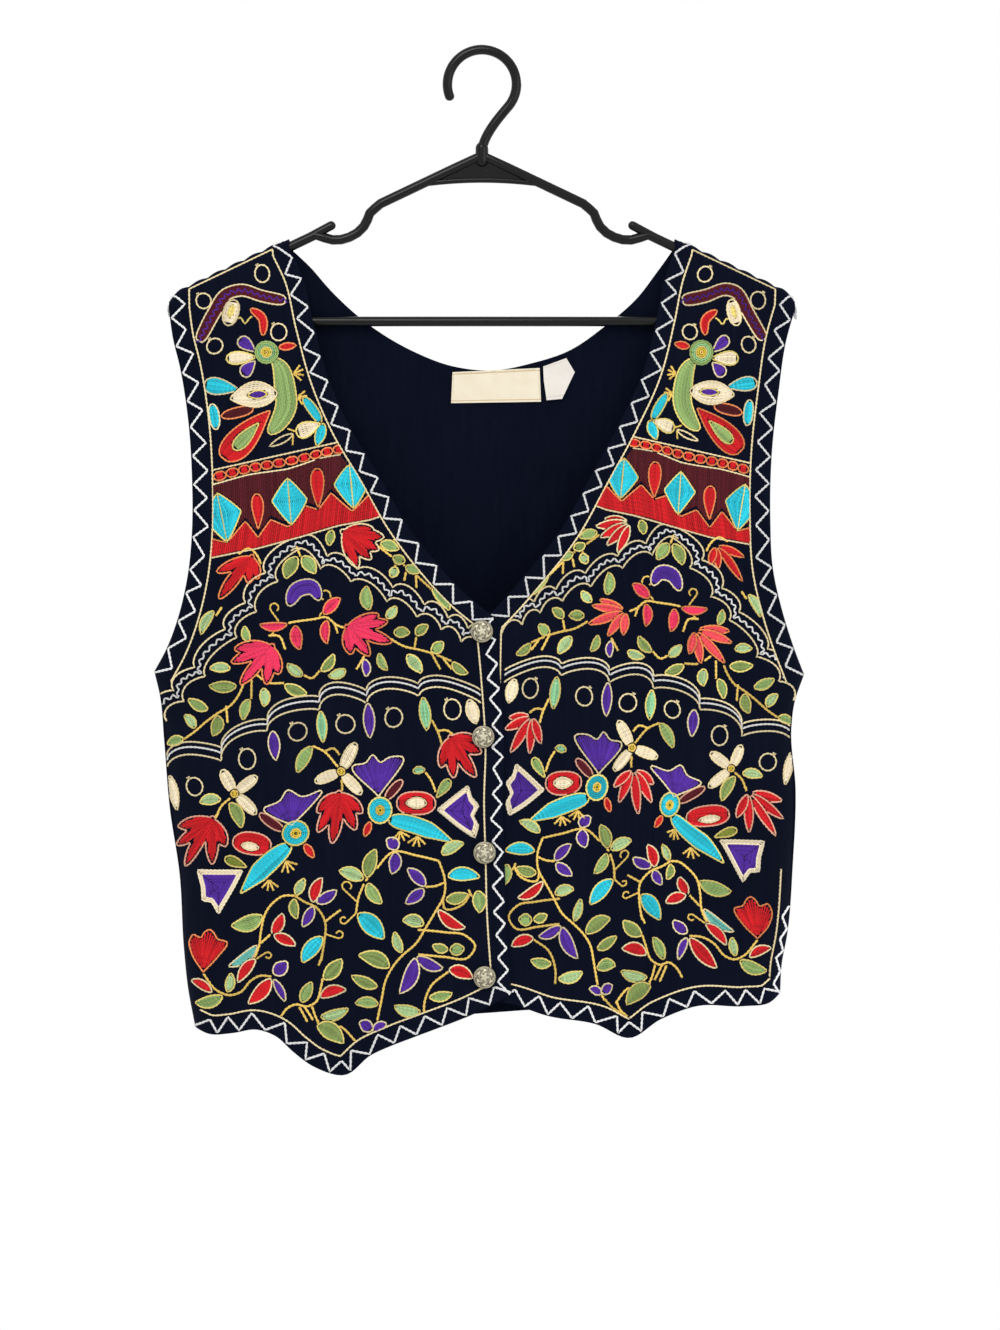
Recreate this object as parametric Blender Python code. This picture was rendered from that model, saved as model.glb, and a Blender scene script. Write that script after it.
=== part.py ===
"""A cropped, V-necked waistcoat of dark cotton, buttoned up and hanging on a tubular hanger.

Metres, +Z up, +X to the viewer's right, and -Y towards the viewer, who sees the fronts.
The origin is the inside top of the hanger's hook, where a rod carries it, and the hanger
lies in the plane y = 0. Right and left in the pieces' names are the wearer's.
"""

import math

import bmesh
import bpy
import numpy as np

MM = 0.001

# Cloth and seams
WALL = 1.5 * MM
SEAM_GAP = 0.3 * MM
SEAM_Y = 4 * MM
LAP_STEP = WALL + 2 * SEAM_GAP

# Hanger: an adult's, 432 mm wide, of 7 mm round section
TUBE_R = 3.5 * MM
HANGER_HALF = 216 * MM
APEX_Z = -71.5 * MM
ARM_SLOPE = 0.477
BAR_Z = -189.5 * MM
BEND_R = 10.2 * MM
BEND_TAIL = 3 * MM
HOOK_INNER_R = 21 * MM
TUBE_SIDES = 12
GUSSET_HALF = 44 * MM
GUSSET_ARCH = 3.4 * MM
GUSSET_WALL = 3.2 * MM
BOSS_R = 4.6 * MM

# The cloth rolls over the hanger's arm, and its shoulder seam lies just behind the top
SHOULDER_R = TUBE_R + SEAM_GAP + WALL
ARM_STRETCH = math.hypot(1, ARM_SLOPE)
SEAM_ANGLE = math.radians(-30)
NECK_X = 137 * MM
SHOULDER_DROOP_FROM = 212 * MM
SHOULDER_DROOP = 0.04 / MM

# Outlines seen from the front, in mm. Each runs from top to bottom; hems run from the side inwards.
# columns: x, z
RIGHT_NECK = [(-137, -137), (-128, -156), (-119, -193), (-109, -229), (-94, -264), (-75, -296),
              (-55, -331), (-35, -358), (-13, -382), (9, -400)]
RIGHT_CENTRE = [(9, -400), (13, -443), (16, -494), (15, -529), (16, -565), (17, -605), (21, -664)]
RIGHT_ARMHOLE = [(-222, -181), (-219, -202), (-214, -222), (-208, -259), (-205, -303), (-205, -337),
                 (-208, -369), (-216, -402), (-224, -422), (-233, -438)]
RIGHT_SIDE = [(-233, -438), (-229, -455), (-226, -487), (-222, -535), (-215, -582), (-212, -634),
              (-209, -663), (-204, -690)]
RIGHT_HEM = [(-204, -690), (-193, -694), (-176, -693), (-158, -690), (-145, -694), (-132, -705),
             (-118, -715), (-96, -721), (-78, -707), (-60, -699), (-37, -690), (-8, -679), (21, -664)]
LEFT_NECK = [(137, -137), (130, -158), (124, -187), (114, -226), (98, -261), (78, -298), (55, -339),
             (33, -367), (8, -395), (-8, -410)]
LEFT_CENTRE = [(-8, -410), (-9, -472), (-8, -529), (-8, -600), (-6, -667)]
LEFT_ARMHOLE = [(222, -181), (216, -202), (210, -240), (205, -285), (204, -330), (206, -366),
                (213, -396), (221, -420), (229, -440)]
LEFT_SIDE = [(229, -440), (222, -461), (220, -478), (223, -522), (221, -575), (217, -625),
             (213, -647), (212, -666)]
LEFT_HEM = [(212, -666), (204, -672), (185, -674), (151, -673), (126, -682), (104, -695), (80, -685),
            (45, -679), (20, -671), (-6, -667)]
BACK_NECK = [(-137, -134), (-122, -151), (-108, -167), (-80, -192), (-50, -210), (-21, -221),
             (8, -224), (35, -219), (62, -210), (87, -193), (111, -172), (124, -155), (137, -134)]
BACK_HEM = [(-204, -690), (0, -683), (212, -666)]
BACK_ARMHOLE_INSET = 5 * MM

# How far the cloth's outer face stands from the hanger's plane, in the middle, in mm
# columns: z, front, back
DEPTHS = [(-138, 5.3, 5.3), (-200, 9, 8), (-300, 18, 13), (-400, 27, 18), (-500, 34, 23),
          (-600, 39, 27), (-725, 43, 31)]
# The same at the armhole's edge, which closes to the side seam at the underarm, in mm
# columns: z, front, back
EDGE_DEPTHS = [(-138, 5.3, 5.3), (-180, 5.3, 5.3), (-250, 10, 8), (-330, 12, 9.5), (-395, 8, 8.5),
               (-438, -4, 4), (-725, -4, 4)]
# How square the section is: 1 is a parabola and more is a fuller lens with rounder sides
# columns: z, squareness
SECTION = [(-138, 1), (-320, 1), (-450, 2.3), (-725, 2.3)]
SHOULDER_BLEND = 60 * MM

# Soft vertical folds, in mm; height is outwards, and each folds the cloth from its top to the hem
# columns: x at the hem, half width, height, z of its top, drift in x towards its top
FRONT_FOLDS = [(-196, 13, 2.0, -500, 6), (-172, 15, -3.6, -520, 10), (-132, 18, 3.0, -480, 14),
               (-100, 15, -2.6, -520, 8), (-62, 9, -2.4, -450, 3), (-36, 14, 1.8, -500, 0),
               (-14, 10, -1.6, -520, -4), (32, 14, -1.8, -430, -6), (70, 20, 2.6, -480, -8),
               (117, 13, -3.4, -500, -6), (152, 18, 2.8, -500, -10), (192, 12, -2.4, -540, -6)]
BACK_FOLDS = [(-165, 18, 3.0, -430, 10), (-120, 20, -3.2, -380, 14), (-68, 22, 3.2, -330, 16),
              (-20, 18, -2.6, -300, 8), (30, 22, 3.4, -320, -10), (85, 20, -3.2, -340, -16),
              (135, 20, 3.0, -400, -14), (178, 15, -2.6, -450, -8)]

# Rows and columns of each panel's grid
CURL_ROWS = 5
UPPER_ROWS = 12
LOWER_ROWS = 12
FRONT_COLUMNS = 20
COLUMNS_TO_SIDE = 1.3
SHOULDER_COLUMNS = 6
NECK_COLUMNS = 16

# Buttons: domed metal discs on a short shank
BUTTON_R = 8 * MM
BUTTON_RIM = 1.0 * MM
BUTTON_DOME = 2.8 * MM
SHANK_R = 2.2 * MM
SHANK_H = 1.8 * MM
BUTTON_SEAT = 0.4 * MM
BUTTON_SIDES = 20
# columns: x, z, in mm
BUTTONS = [(0, -410), (1, -484), (2, -565), (2, -652)]

# Labels sewn inside the back of the neck, in mm, from the top edge down
# columns: x and z of the left edge, x and z of the right edge
NECK_LABEL = [(-21, -225, 41, -222), (-22, -247, 42, -246)]
SIZE_TAG = [(43.5, -221, 60, -215), (44, -231, 66, -225), (46, -245, 57, -244)]
LABEL_WALL = 1.0 * MM
LABEL_CLEAR = 0.4 * MM
LABEL_ROWS = 4
LABEL_COLUMNS = 7
TAG_LIFT = 1.2 * MM


def clear_scene():
    for obj in list(bpy.data.objects):
        bpy.data.objects.remove(obj)


def material(name, colour, roughness, metallic=0.0):
    made = bpy.data.materials.new(name)
    made.use_nodes = True
    shader = made.node_tree.nodes["Principled BSDF"]
    shader.inputs["Base Color"].default_value = (*colour, 1)
    shader.inputs["Roughness"].default_value = roughness
    shader.inputs["Metallic"].default_value = metallic
    return made


def hermite(knots, values, at):
    """A smooth curve through the values at rising knots, read at the given places."""
    slopes = np.gradient(values, knots, axis=0)
    span = np.clip(np.searchsorted(knots, at, side="right") - 1, 0, len(knots) - 2)
    width = knots[span + 1] - knots[span]
    t = np.clip((at - knots[span]) / width, 0, 1)
    if values.ndim > 1:
        t, width = t[:, None], width[:, None]
    return ((2 * t**3 - 3 * t**2 + 1) * values[span] + (t**3 - 2 * t**2 + t) * width * slopes[span]
            + (3 * t**2 - 2 * t**3) * values[span + 1] + (t**3 - t**2) * width * slopes[span + 1])


def along(points, shares):
    """Points at the given shares of the length of a smooth curve through a table's points."""
    knots = np.array(points, float) * MM
    chord = np.append(0, np.cumsum(np.linalg.norm(np.diff(knots, axis=0), axis=1)))
    fine = hermite(chord, knots, np.linspace(0, chord[-1], 400))
    length = np.append(0, np.cumsum(np.linalg.norm(np.diff(fine, axis=0), axis=1)))
    wanted = np.asarray(shares) * length[-1]
    return np.column_stack([np.interp(wanted, length, fine[:, axis]) for axis in (0, 1)])


def profile(table, column, z):
    """A column of a table that has z first, read smoothly at heights z."""
    rows = np.array(table, float)[::-1]
    at = np.clip(np.asarray(z, float) / MM, rows[0, 0], rows[-1, 0])
    return hermite(rows[:, 0], rows[:, column], at)


def smooth_step(t):
    t = np.clip(t, 0, 1)
    return t * t * (3 - 2 * t)


def shoulder_line(x):
    """Height of the arm's axis under the shoulder, which droops past the hanger's end."""
    past = np.maximum(np.abs(x) - SHOULDER_DROOP_FROM, 0)
    return APEX_Z - ARM_SLOPE * np.abs(x) - SHOULDER_DROOP * past**2


def side_reach(x, z):
    """How far the garment reaches sideways at height z, on the side where x is."""
    reach = []
    for armhole, side in ((RIGHT_ARMHOLE, RIGHT_SIDE), (LEFT_ARMHOLE, LEFT_SIDE)):
        edge = np.vstack([along(armhole, np.linspace(0, 1, 60)), along(side, np.linspace(0, 1, 60))])
        order = np.argsort(edge[:, 1])
        reach.append(np.interp(z, edge[order, 1], np.abs(edge[order, 0])))
    return np.where(x < 0, reach[0], reach[1])


def folds(table, x, z):
    total = np.zeros_like(x)
    for at, half_width, height, top, drift in table:
        fall = smooth_step((top - z / MM) / 160)
        middle = at + drift * smooth_step((z / MM + 690) / 200)
        total += height * fall * np.exp(-(((x / MM - middle) / half_width) ** 2))
    return total * MM


def stand_off(x, z, column, fold_table):
    """Distance of the cloth's outer face from the hanger's plane, for a front (1) or the back (2)."""
    reach = side_reach(x, z)
    across = np.clip(np.abs(x) / reach, 0, 1)
    power = profile(SECTION, 1, z)
    section = np.clip(1 - across ** np.maximum(power, 2), 0, 1) ** (1 / power)
    edge = profile(EDGE_DEPTHS, column, z) * MM
    middle = profile(DEPTHS, column, z) * MM
    free = edge + (middle - edge + folds(fold_table, x, z)) * section
    below = smooth_step((shoulder_line(x) - z) / SHOULDER_BLEND)
    return SHOULDER_R + (free - SHOULDER_R) * below


def coons(top, bottom, inner, outer, s, t):
    """A patch spanned between four edges, each read at s (across) or t (down)."""
    s, t = s[None, :, None], t[:, None, None]
    corners = ((1 - s) * (1 - t) * top[0] + s * (1 - t) * top[-1]
               + (1 - s) * t * bottom[0] + s * t * bottom[-1])
    return ((1 - t) * top[None] + t * bottom[None]
            + (1 - s) * inner[:, None] + s * outer[:, None] - corners)


def down_an_edge(upper, lower):
    """An edge of two stretches, with a row on the corner between them, and each row's share."""
    rows = np.linspace(0, 1, UPPER_ROWS + 1), np.linspace(0, 1, LOWER_ROWS + 1)[1:]
    return np.vstack([along(upper, rows[0]), along(lower, rows[1])])


def row_shares():
    return np.linspace(0, 1, UPPER_ROWS + LOWER_ROWS + 1)


def curl(x, start, end, turn):
    """The cloth rolled over the arm: rows from one angle to another, measured from the top.

    turn is -1 where a growing angle runs to the viewer, and 1 where it runs to the back.
    """
    angles = np.linspace(start, end, CURL_ROWS + 1)[:-1, None]
    z = shoulder_line(x)[None] + SHOULDER_R * ARM_STRETCH * np.cos(angles)
    y = turn * SHOULDER_R * np.sin(angles) * np.ones_like(x)[None]
    return np.stack([np.broadcast_to(x, z.shape), y, z], axis=-1)


def arm_normals(x, start, end, turn):
    """Outward directions for the points of curl(), square to the arm's axis."""
    angles = np.linspace(start, end, CURL_ROWS + 1)[:-1, None]
    past = np.maximum(np.abs(x) - SHOULDER_DROOP_FROM, 0)
    fall = np.sign(x) * (ARM_SLOPE + 2 * SHOULDER_DROOP * past)
    stretch = np.hypot(1, fall)
    sideways = np.cos(angles) * (fall / stretch)[None]
    upwards = np.cos(angles) / stretch[None]
    return np.stack([sideways, turn * np.sin(angles) * np.ones_like(x)[None], upwards], axis=-1)


def body_normals(body, outwards):
    """Outward directions of a hanging panel; at the side seam they lie in the seam's plane."""
    normals = np.cross(np.gradient(body, axis=1, edge_order=2), np.gradient(body, axis=0, edge_order=2))
    normals *= np.sign(outwards * normals[..., 1].mean())
    seam = np.abs(body[:, :, 1] - SEAM_Y) < SEAM_GAP
    normals[..., 1][seam] = 0
    return normals / np.linalg.norm(normals, axis=-1, keepdims=True)


def new_object(name, build, finish, sharp):
    """An object from a bmesh, shaded smooth but for edges sharper than the given angle."""
    bmesh.ops.recalc_face_normals(build, faces=build.faces)
    mesh = bpy.data.meshes.new(name)
    build.to_mesh(mesh)
    build.free()
    mesh.shade_smooth()
    mesh.set_sharp_from_angle(angle=math.radians(sharp))
    mesh.materials.append(finish)
    obj = bpy.data.objects.new(name, mesh)
    bpy.context.scene.collection.objects.link(obj)
    return obj


def shell(name, outer, inner, present, finish):
    """A closed wall between two grids of points, over those cells of the grid that are present."""
    build = bmesh.new()
    used = {}

    def vert(side, row, column):
        key = (side, row, column)
        if key not in used:
            used[key] = build.verts.new((outer, inner)[side][row, column])
        return used[key]

    rows, columns = present.shape
    for r, c in np.argwhere(present).tolist():
        corners = [(r, c), (r, c + 1), (r + 1, c + 1), (r + 1, c)]
        beyond = [(r - 1, c), (r, c + 1), (r + 1, c), (r, c - 1)]
        build.faces.new([vert(0, *corner) for corner in corners])
        build.faces.new([vert(1, *corner) for corner in corners[::-1]])
        for k, (row, column) in enumerate(beyond):
            if 0 <= row < rows and 0 <= column < columns and present[row, column]:
                continue
            start, end = corners[k], corners[(k + 1) % 4]
            build.faces.new([vert(0, *start), vert(1, *start), vert(1, *end), vert(0, *end)])
    return new_object(name, build, finish, 60)


def front(name, neck, centre, armhole, side, hem, lap, finish):
    """One front, from the seam behind the shoulder's top, over the arm and down to the hem.

    lap is how far the panel lies behind the other one where the two overlap at the centre.
    """
    s = 1 - (1 - np.linspace(0, 1, FRONT_COLUMNS + 1)) ** COLUMNS_TO_SIDE
    top_x = neck[0][0] * MM + (armhole[0][0] - neck[0][0]) * MM * s
    top = np.column_stack([top_x, shoulder_line(top_x)])
    bottom = along(hem[::-1], s)
    inner, outer = down_an_edge(neck, centre), down_an_edge(armhole, side)
    flat = coons(top, bottom, inner, outer, s, row_shares())
    x, z = flat[..., 0], flat[..., 1]
    y = -stand_off(x, z, 1, FRONT_FOLDS)
    under = smooth_step((60 * MM - np.abs(x)) / (28 * MM)) * smooth_step((-330 * MM - z) / (60 * MM))
    y += lap * under
    y = np.minimum(y, SEAM_Y - SEAM_GAP / 2)
    body = np.stack([x, y, z], axis=-1)
    seam = SEAM_ANGLE + SEAM_GAP / 2 / SHOULDER_R
    outer = np.vstack([curl(top_x, seam, math.pi / 2, -1), body])
    normals = np.vstack([arm_normals(top_x, seam, math.pi / 2, -1), body_normals(body, -1)])
    normals[CURL_ROWS] = (0, -1, 0)
    present = np.ones((len(outer) - 1, FRONT_COLUMNS), bool)
    return shell(name, outer, outer - WALL * normals, present, finish)


def back(finish):
    """The back in one piece: two shoulders with the neckline between them, and down to the hem."""
    shoulder = np.linspace(0, 1, SHOULDER_COLUMNS + 1)
    outer_x = [RIGHT_ARMHOLE[0][0] * MM, LEFT_ARMHOLE[0][0] * MM]
    left_x = outer_x[0] + (-NECK_X - outer_x[0]) * shoulder
    right_x = NECK_X + (outer_x[1] - NECK_X) * shoulder
    neck = along(BACK_NECK, np.linspace(0, 1, NECK_COLUMNS + 1))[1:-1]
    top = np.vstack([np.column_stack([left_x, shoulder_line(left_x)]), neck,
                     np.column_stack([right_x, shoulder_line(right_x)])])
    s = np.append(0, np.cumsum(np.abs(np.diff(top[:, 0]))))
    s /= s[-1]
    edges = [down_an_edge(RIGHT_ARMHOLE, RIGHT_SIDE), down_an_edge(LEFT_ARMHOLE, LEFT_SIDE)]
    inset = np.zeros(len(edges[0]))
    inset[: UPPER_ROWS + 1] = BACK_ARMHOLE_INSET * np.sin(np.linspace(0, math.pi, UPPER_ROWS + 1))
    edges[0][:, 0] += inset
    edges[1][:, 0] -= inset
    bottom = along(BACK_HEM, s)
    flat = coons(top, bottom, edges[0], edges[1], s, row_shares())
    x, z = flat[..., 0], flat[..., 1]
    y = np.maximum(stand_off(x, z, 2, BACK_FOLDS), SEAM_Y + SEAM_GAP / 2)
    body = np.stack([x, y, z], axis=-1)
    seam = -SEAM_ANGLE + SEAM_GAP / 2 / SHOULDER_R
    outer = np.vstack([curl(top[:, 0], seam, math.pi / 2, 1), body])
    normals = np.vstack([arm_normals(top[:, 0], seam, math.pi / 2, 1), body_normals(body, 1)])
    shoulders = np.arange(len(top)) <= SHOULDER_COLUMNS
    shoulders |= shoulders[::-1]
    normals[CURL_ROWS, shoulders] = (0, 1, 0)
    present = np.ones((len(outer) - 1, len(top) - 1), bool)
    present[:CURL_ROWS] = shoulders[1:] & shoulders[:-1]
    return shell("back", outer, outer - WALL * normals, present, finish)


def skin(name, rings, finish):
    """A solid whose side runs from ring to ring of points, closed at both ends."""
    build = bmesh.new()
    loops = [[build.verts.new(point) for point in ring] for ring in rings]
    sides = len(loops[0])
    for lower, upper in zip(loops, loops[1:]):
        for k in range(sides):
            after = (k + 1) % sides
            build.faces.new((lower[k], lower[after], upper[after], upper[k]))
    build.faces.new(loops[0][::-1])
    build.faces.new(loops[-1])
    return new_object(name, build, finish, 40)


def turned(name, sections, sides, finish):
    """A solid turned about its own Z axis from sections of (radius, height)."""
    turns = np.linspace(0, 2 * math.pi, sides, endpoint=False)
    circle = np.column_stack([np.cos(turns), np.sin(turns), np.zeros(sides)])
    return skin(name, [radius * circle + (0, 0, height) for radius, height in sections], finish)


def buttons(finish):
    """Four shank buttons down the centre, each seated on the outer front."""
    dome = [math.radians(a) for a in (0, 22, 44, 66, 82)]
    face = SHANK_H + BUTTON_RIM
    rings = [(SHANK_R, 0), (SHANK_R, SHANK_H), (BUTTON_R - 0.6 * MM, SHANK_H), (BUTTON_R, SHANK_H + 0.5 * MM)]
    rings += [(BUTTON_R * math.cos(a), face + BUTTON_DOME * math.sin(a)) for a in dome]
    for number, (x, z) in enumerate(BUTTONS, start=1):
        button = turned(f"button_{number}", rings, BUTTON_SIDES, finish)
        here = np.array([x * MM]), np.array([z * MM])
        step = 2 * MM
        face_y = -stand_off(*here, 1, FRONT_FOLDS)[0]
        above_y = -stand_off(here[0], here[1] + step, 1, FRONT_FOLDS)[0]
        lean = math.atan2(above_y - face_y, step)
        button.rotation_euler = (math.pi / 2 - lean, 0, 0)
        button.location = (x * MM, face_y - BUTTON_SEAT, z * MM)


def label(name, table, lift, finish):
    """A woven label laid on the inner face of the back, hanging a little free at its foot."""
    rows = np.array(table, float) * MM
    share = np.linspace(0, 1, LABEL_ROWS + 1)
    edges = np.column_stack([np.interp(share, np.linspace(0, 1, len(rows)), rows[:, k]) for k in range(4)])
    across = np.linspace(0, 1, LABEL_COLUMNS + 1)[None]
    x = edges[:, 0, None] + (edges[:, 2] - edges[:, 0])[:, None] * across
    z = edges[:, 1, None] + (edges[:, 3] - edges[:, 1])[:, None] * across
    y = stand_off(x, z, 2, BACK_FOLDS) - WALL - LABEL_CLEAR - lift * share[:, None]
    back_face = np.stack([x, y, z], axis=-1)
    present = np.ones((LABEL_ROWS, LABEL_COLUMNS), bool)
    return shell(name, back_face - (0, LABEL_WALL, 0), back_face, present, finish)


def bezier(start, start_pull, end_pull, end, count):
    t = np.linspace(0, 1, count)[:, None]
    start, start_pull, end_pull, end = (np.array(p, float) for p in (start, start_pull, end_pull, end))
    return (1 - t)**3 * start + 3 * (1 - t)**2 * t * start_pull + 3 * (1 - t) * t**2 * end_pull + t**3 * end


def tube(name, path, radius, finish, domed=False):
    """A round bar along a path of (x, z) points in the hanger's plane, with a flat or domed end."""
    points = np.array(path, float)
    steps = np.diff(points, axis=0)
    steps /= np.linalg.norm(steps, axis=1)[:, None]
    ways = np.vstack([steps[:1], steps[:-1] + steps[1:], steps[-1:]])
    ways /= np.linalg.norm(ways, axis=1)[:, None]
    stations = [(point, way, radius) for point, way in zip(points, ways)]
    if domed:
        dome = [(radius * math.sin(a), radius * math.cos(a)) for a in (0.5, 0.95, 1.35)]
        stations += [(points[-1] + ways[-1] * out, ways[-1], r) for out, r in dome]
    turns = np.linspace(0, 2 * math.pi, TUBE_SIDES, endpoint=False)[:, None]
    rings = []
    for (x, z), (way_x, way_z), r in stations:
        rings.append((x, 0, z) + r * (np.cos(turns) * (-way_z, 0, way_x) + np.sin(turns) * (0, 1, 0)))
    return skin(name, rings, finish)


def arm_z(x):
    return APEX_Z - ARM_SLOPE * abs(x)


def arm_path():
    """Half of the hanger's top, from the apex out along the arm, its notch and the end bend."""
    line = [(x * MM, arm_z(x * MM)) for x in (0, 40, 72)]
    dip = [(76, -109.2), (79.6, -112.6), (81.4, -117.4), (84, -122.2), (88.5, -126.6), (94, -129.6),
           (100, -131.4), (106, -131.6), (112, -130)]
    line += [(x * MM, z * MM) for x, z in dip]
    bend_x = HANGER_HALF - TUBE_R - BEND_R
    lean = math.atan(ARM_SLOPE)
    line += [(x * MM, arm_z(x * MM)) for x in (119, 150, 180)]
    turns = np.linspace(math.pi / 2 - lean, -math.pi / 2, 9)
    line += [(bend_x + BEND_R * math.cos(a), BAR_Z + BEND_R + BEND_R * math.sin(a)) for a in turns]
    line.append((bend_x - BEND_TAIL, BAR_Z))
    return line


def union(target, tools):
    for tool in tools:
        joint = target.modifiers.new("join", "BOOLEAN")
        joint.operation = "UNION"
        joint.object = tool
        tool.hide_render = True
        tool.display_type = "WIRE"


def gusset(finish):
    """The flat web that fills the corner under the apex, arched along its lower edge."""
    foot = arm_z(GUSSET_HALF) - 0.6 * MM
    share = np.linspace(-1, 1, 9)
    lower = [(GUSSET_HALF * u, foot + GUSSET_ARCH * (1 - u * u)) for u in share]
    upper = [(GUSSET_HALF * u * 0.98, arm_z(GUSSET_HALF * u)) for u in share]
    half = GUSSET_WALL / 2
    rings = []
    for (low_x, low_z), (high_x, high_z) in zip(lower, upper):
        rings.append([(low_x, -half, low_z), (high_x, -half, high_z),
                      (high_x, half, high_z), (low_x, half, low_z)])
    return skin("gusset", rings, finish)


def hanger(finish):
    """The moulded hanger: yoke with notched arms and end bends, the cross bar, and the hook."""
    half = arm_path()
    both = [(-x, z) for x, z in half[::-1]] + half[1:]
    yoke = tube("hanger_yoke", both, TUBE_R, finish)
    fingers = []
    for side in (-1, 1):
        tip = [(side * x * MM, arm_z(x * MM) + 1.2 * MM * (124 - x) / 20) for x in (124, 114, 107)]
        fingers.append(tube(f"finger_{side}", tip, TUBE_R - 0.25 * MM, finish, domed=True))
    boss_top = APEX_Z + 5 * MM
    boss = tube("boss", [(0, APEX_Z - 2 * MM), (0, boss_top)], BOSS_R, finish)
    union(yoke, fingers + [gusset(finish), boss])
    bar_end = HANGER_HALF - TUBE_R - BEND_R - BEND_TAIL - SEAM_GAP
    tube("hanger_bar", [(-bar_end, BAR_Z), (bar_end, BAR_Z)], TUBE_R, finish)
    radius = HOOK_INNER_R + TUBE_R
    start = math.radians(-40)
    join = radius * math.cos(start), -HOOK_INNER_R + radius * math.sin(start)
    pull = join[0] - 9 * MM * -math.sin(start), join[1] - 9 * MM * math.cos(start)
    stem = [(0, boss_top + SEAM_GAP)]
    stem += bezier((0, -58 * MM), (0, -49 * MM), pull, join, 7).tolist()
    turns = np.linspace(start, math.radians(200), 21)[1:]
    arc = [(radius * math.cos(a), -HOOK_INNER_R + radius * math.sin(a)) for a in turns]
    tube("hanger_hook", stem + arc, TUBE_R, finish, domed=True)


def build():
    clear_scene()
    cotton = material("navy_cotton", (0.012, 0.014, 0.03), 0.85)
    silver = material("aged_silver", (0.52, 0.5, 0.44), 0.4, 0.9)
    woven = material("cream_label", (0.82, 0.78, 0.66), 0.7)
    plastic = material("black_plastic", (0.018, 0.018, 0.02), 0.38)
    front("front_right", RIGHT_NECK, RIGHT_CENTRE, RIGHT_ARMHOLE, RIGHT_SIDE, RIGHT_HEM, 0, cotton)
    front("front_left", LEFT_NECK, LEFT_CENTRE, LEFT_ARMHOLE, LEFT_SIDE, LEFT_HEM, LAP_STEP, cotton)
    back(cotton)
    buttons(silver)
    label("neck_label", NECK_LABEL, 0, woven)
    label("size_tag", SIZE_TAG, TAG_LIFT, woven)
    hanger(plastic)


build()
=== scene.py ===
"""The looks of an embroidered vest top on its hanger: cloth, thread, metal, labels and plastic.

Metres, +Z up, +X to the viewer's right, and -Y towards the viewer. Tables are in millimetres.
Right and left in the pieces' names are the wearer's, so the right front is on the viewer's left.
"""

import math

import bmesh
import bpy
import numpy as np
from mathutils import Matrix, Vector


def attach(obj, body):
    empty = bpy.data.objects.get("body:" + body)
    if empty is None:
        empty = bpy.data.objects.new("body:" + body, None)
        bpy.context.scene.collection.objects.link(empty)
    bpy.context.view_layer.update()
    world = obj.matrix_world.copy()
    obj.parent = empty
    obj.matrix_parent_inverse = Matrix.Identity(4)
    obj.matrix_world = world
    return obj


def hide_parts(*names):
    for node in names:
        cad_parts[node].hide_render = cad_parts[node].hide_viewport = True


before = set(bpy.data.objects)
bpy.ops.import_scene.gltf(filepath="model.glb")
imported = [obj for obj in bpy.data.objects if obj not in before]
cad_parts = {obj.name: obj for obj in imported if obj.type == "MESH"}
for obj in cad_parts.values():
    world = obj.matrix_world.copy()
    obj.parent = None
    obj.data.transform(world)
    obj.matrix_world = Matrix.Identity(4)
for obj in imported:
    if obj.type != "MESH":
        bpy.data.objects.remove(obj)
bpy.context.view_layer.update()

MM = 0.001
rng = np.random.default_rng(7)

# Studio: a camera square to the fronts and a white room, with a soft light from above and left, a
# weaker one from the right and one from behind. The pale floor lies well below the hem.
FRAME_HEIGHT = 0.9443
FRAME_CENTRE = (0.0128, -0.4334)
CAMERA_DISTANCE = 3.0
SENSOR = 36.0
FAR_CLIP = 50
# columns: name, place, size, power
LIGHTS = [("key_light", (-0.5, -2.2, 1.4), 1.2, 28), ("fill_light", (1.8, -1.8, 0.0), 1.4, 10),
          ("back_light", (0.8, 2.4, 1.0), 1.4, 22)]
FLOOR_Z = -1.6
FLOOR_RADIUS = 3.9
FLOOR_SIDES = 96
FLOOR_COLOUR = (0.86, 0.86, 0.85, 1)
FLOOR_ROUGHNESS = 0.9

scene = bpy.context.scene
bpy.ops.object.select_all(action="DESELECT")
bpy.ops.object.camera_add(location=(FRAME_CENTRE[0], -CAMERA_DISTANCE, FRAME_CENTRE[1]),
                          rotation=(math.pi / 2, 0, 0))
camera = bpy.context.object
camera.data.sensor_fit = "VERTICAL"
camera.data.sensor_height = SENSOR
camera.data.lens = SENSOR * CAMERA_DISTANCE / FRAME_HEIGHT
camera.data.clip_end = FAR_CLIP
scene.camera = camera
scene.view_settings.view_transform = "Standard"

world = bpy.data.worlds.new("white_room")
world.use_nodes = True
white = world.node_tree.nodes["Background"]
white.inputs["Color"].default_value = (1, 1, 1, 1)
white.inputs["Strength"].default_value = 1.0
scene.world = world


def soft_light(name, place, size, power):
    """A square area light that faces the middle of the vest."""
    bpy.ops.object.light_add(type="AREA", location=place)
    lamp = bpy.context.object
    lamp.name = name
    lamp.data.size = size
    lamp.data.energy = power
    aim = Vector((FRAME_CENTRE[0], 0, FRAME_CENTRE[1])) - Vector(place)
    lamp.rotation_euler = aim.to_track_quat("-Z", "Y").to_euler()


for row in LIGHTS:
    soft_light(*row)

bpy.ops.mesh.primitive_circle_add(vertices=FLOOR_SIDES, radius=FLOOR_RADIUS, fill_type="NGON",
                                  location=(0, 0, FLOOR_Z))
floor = bpy.context.object
floor.name = "studio_floor"
bpy.ops.object.transform_apply(location=True, rotation=True, scale=True)
paint = bpy.data.materials.new("pale_floor")
paint.use_nodes = True
matt = paint.node_tree.nodes["Principled BSDF"]
matt.inputs["Base Color"].default_value = FLOOR_COLOUR
matt.inputs["Roughness"].default_value = FLOOR_ROUGHNESS
floor.data.materials.append(paint)

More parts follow.
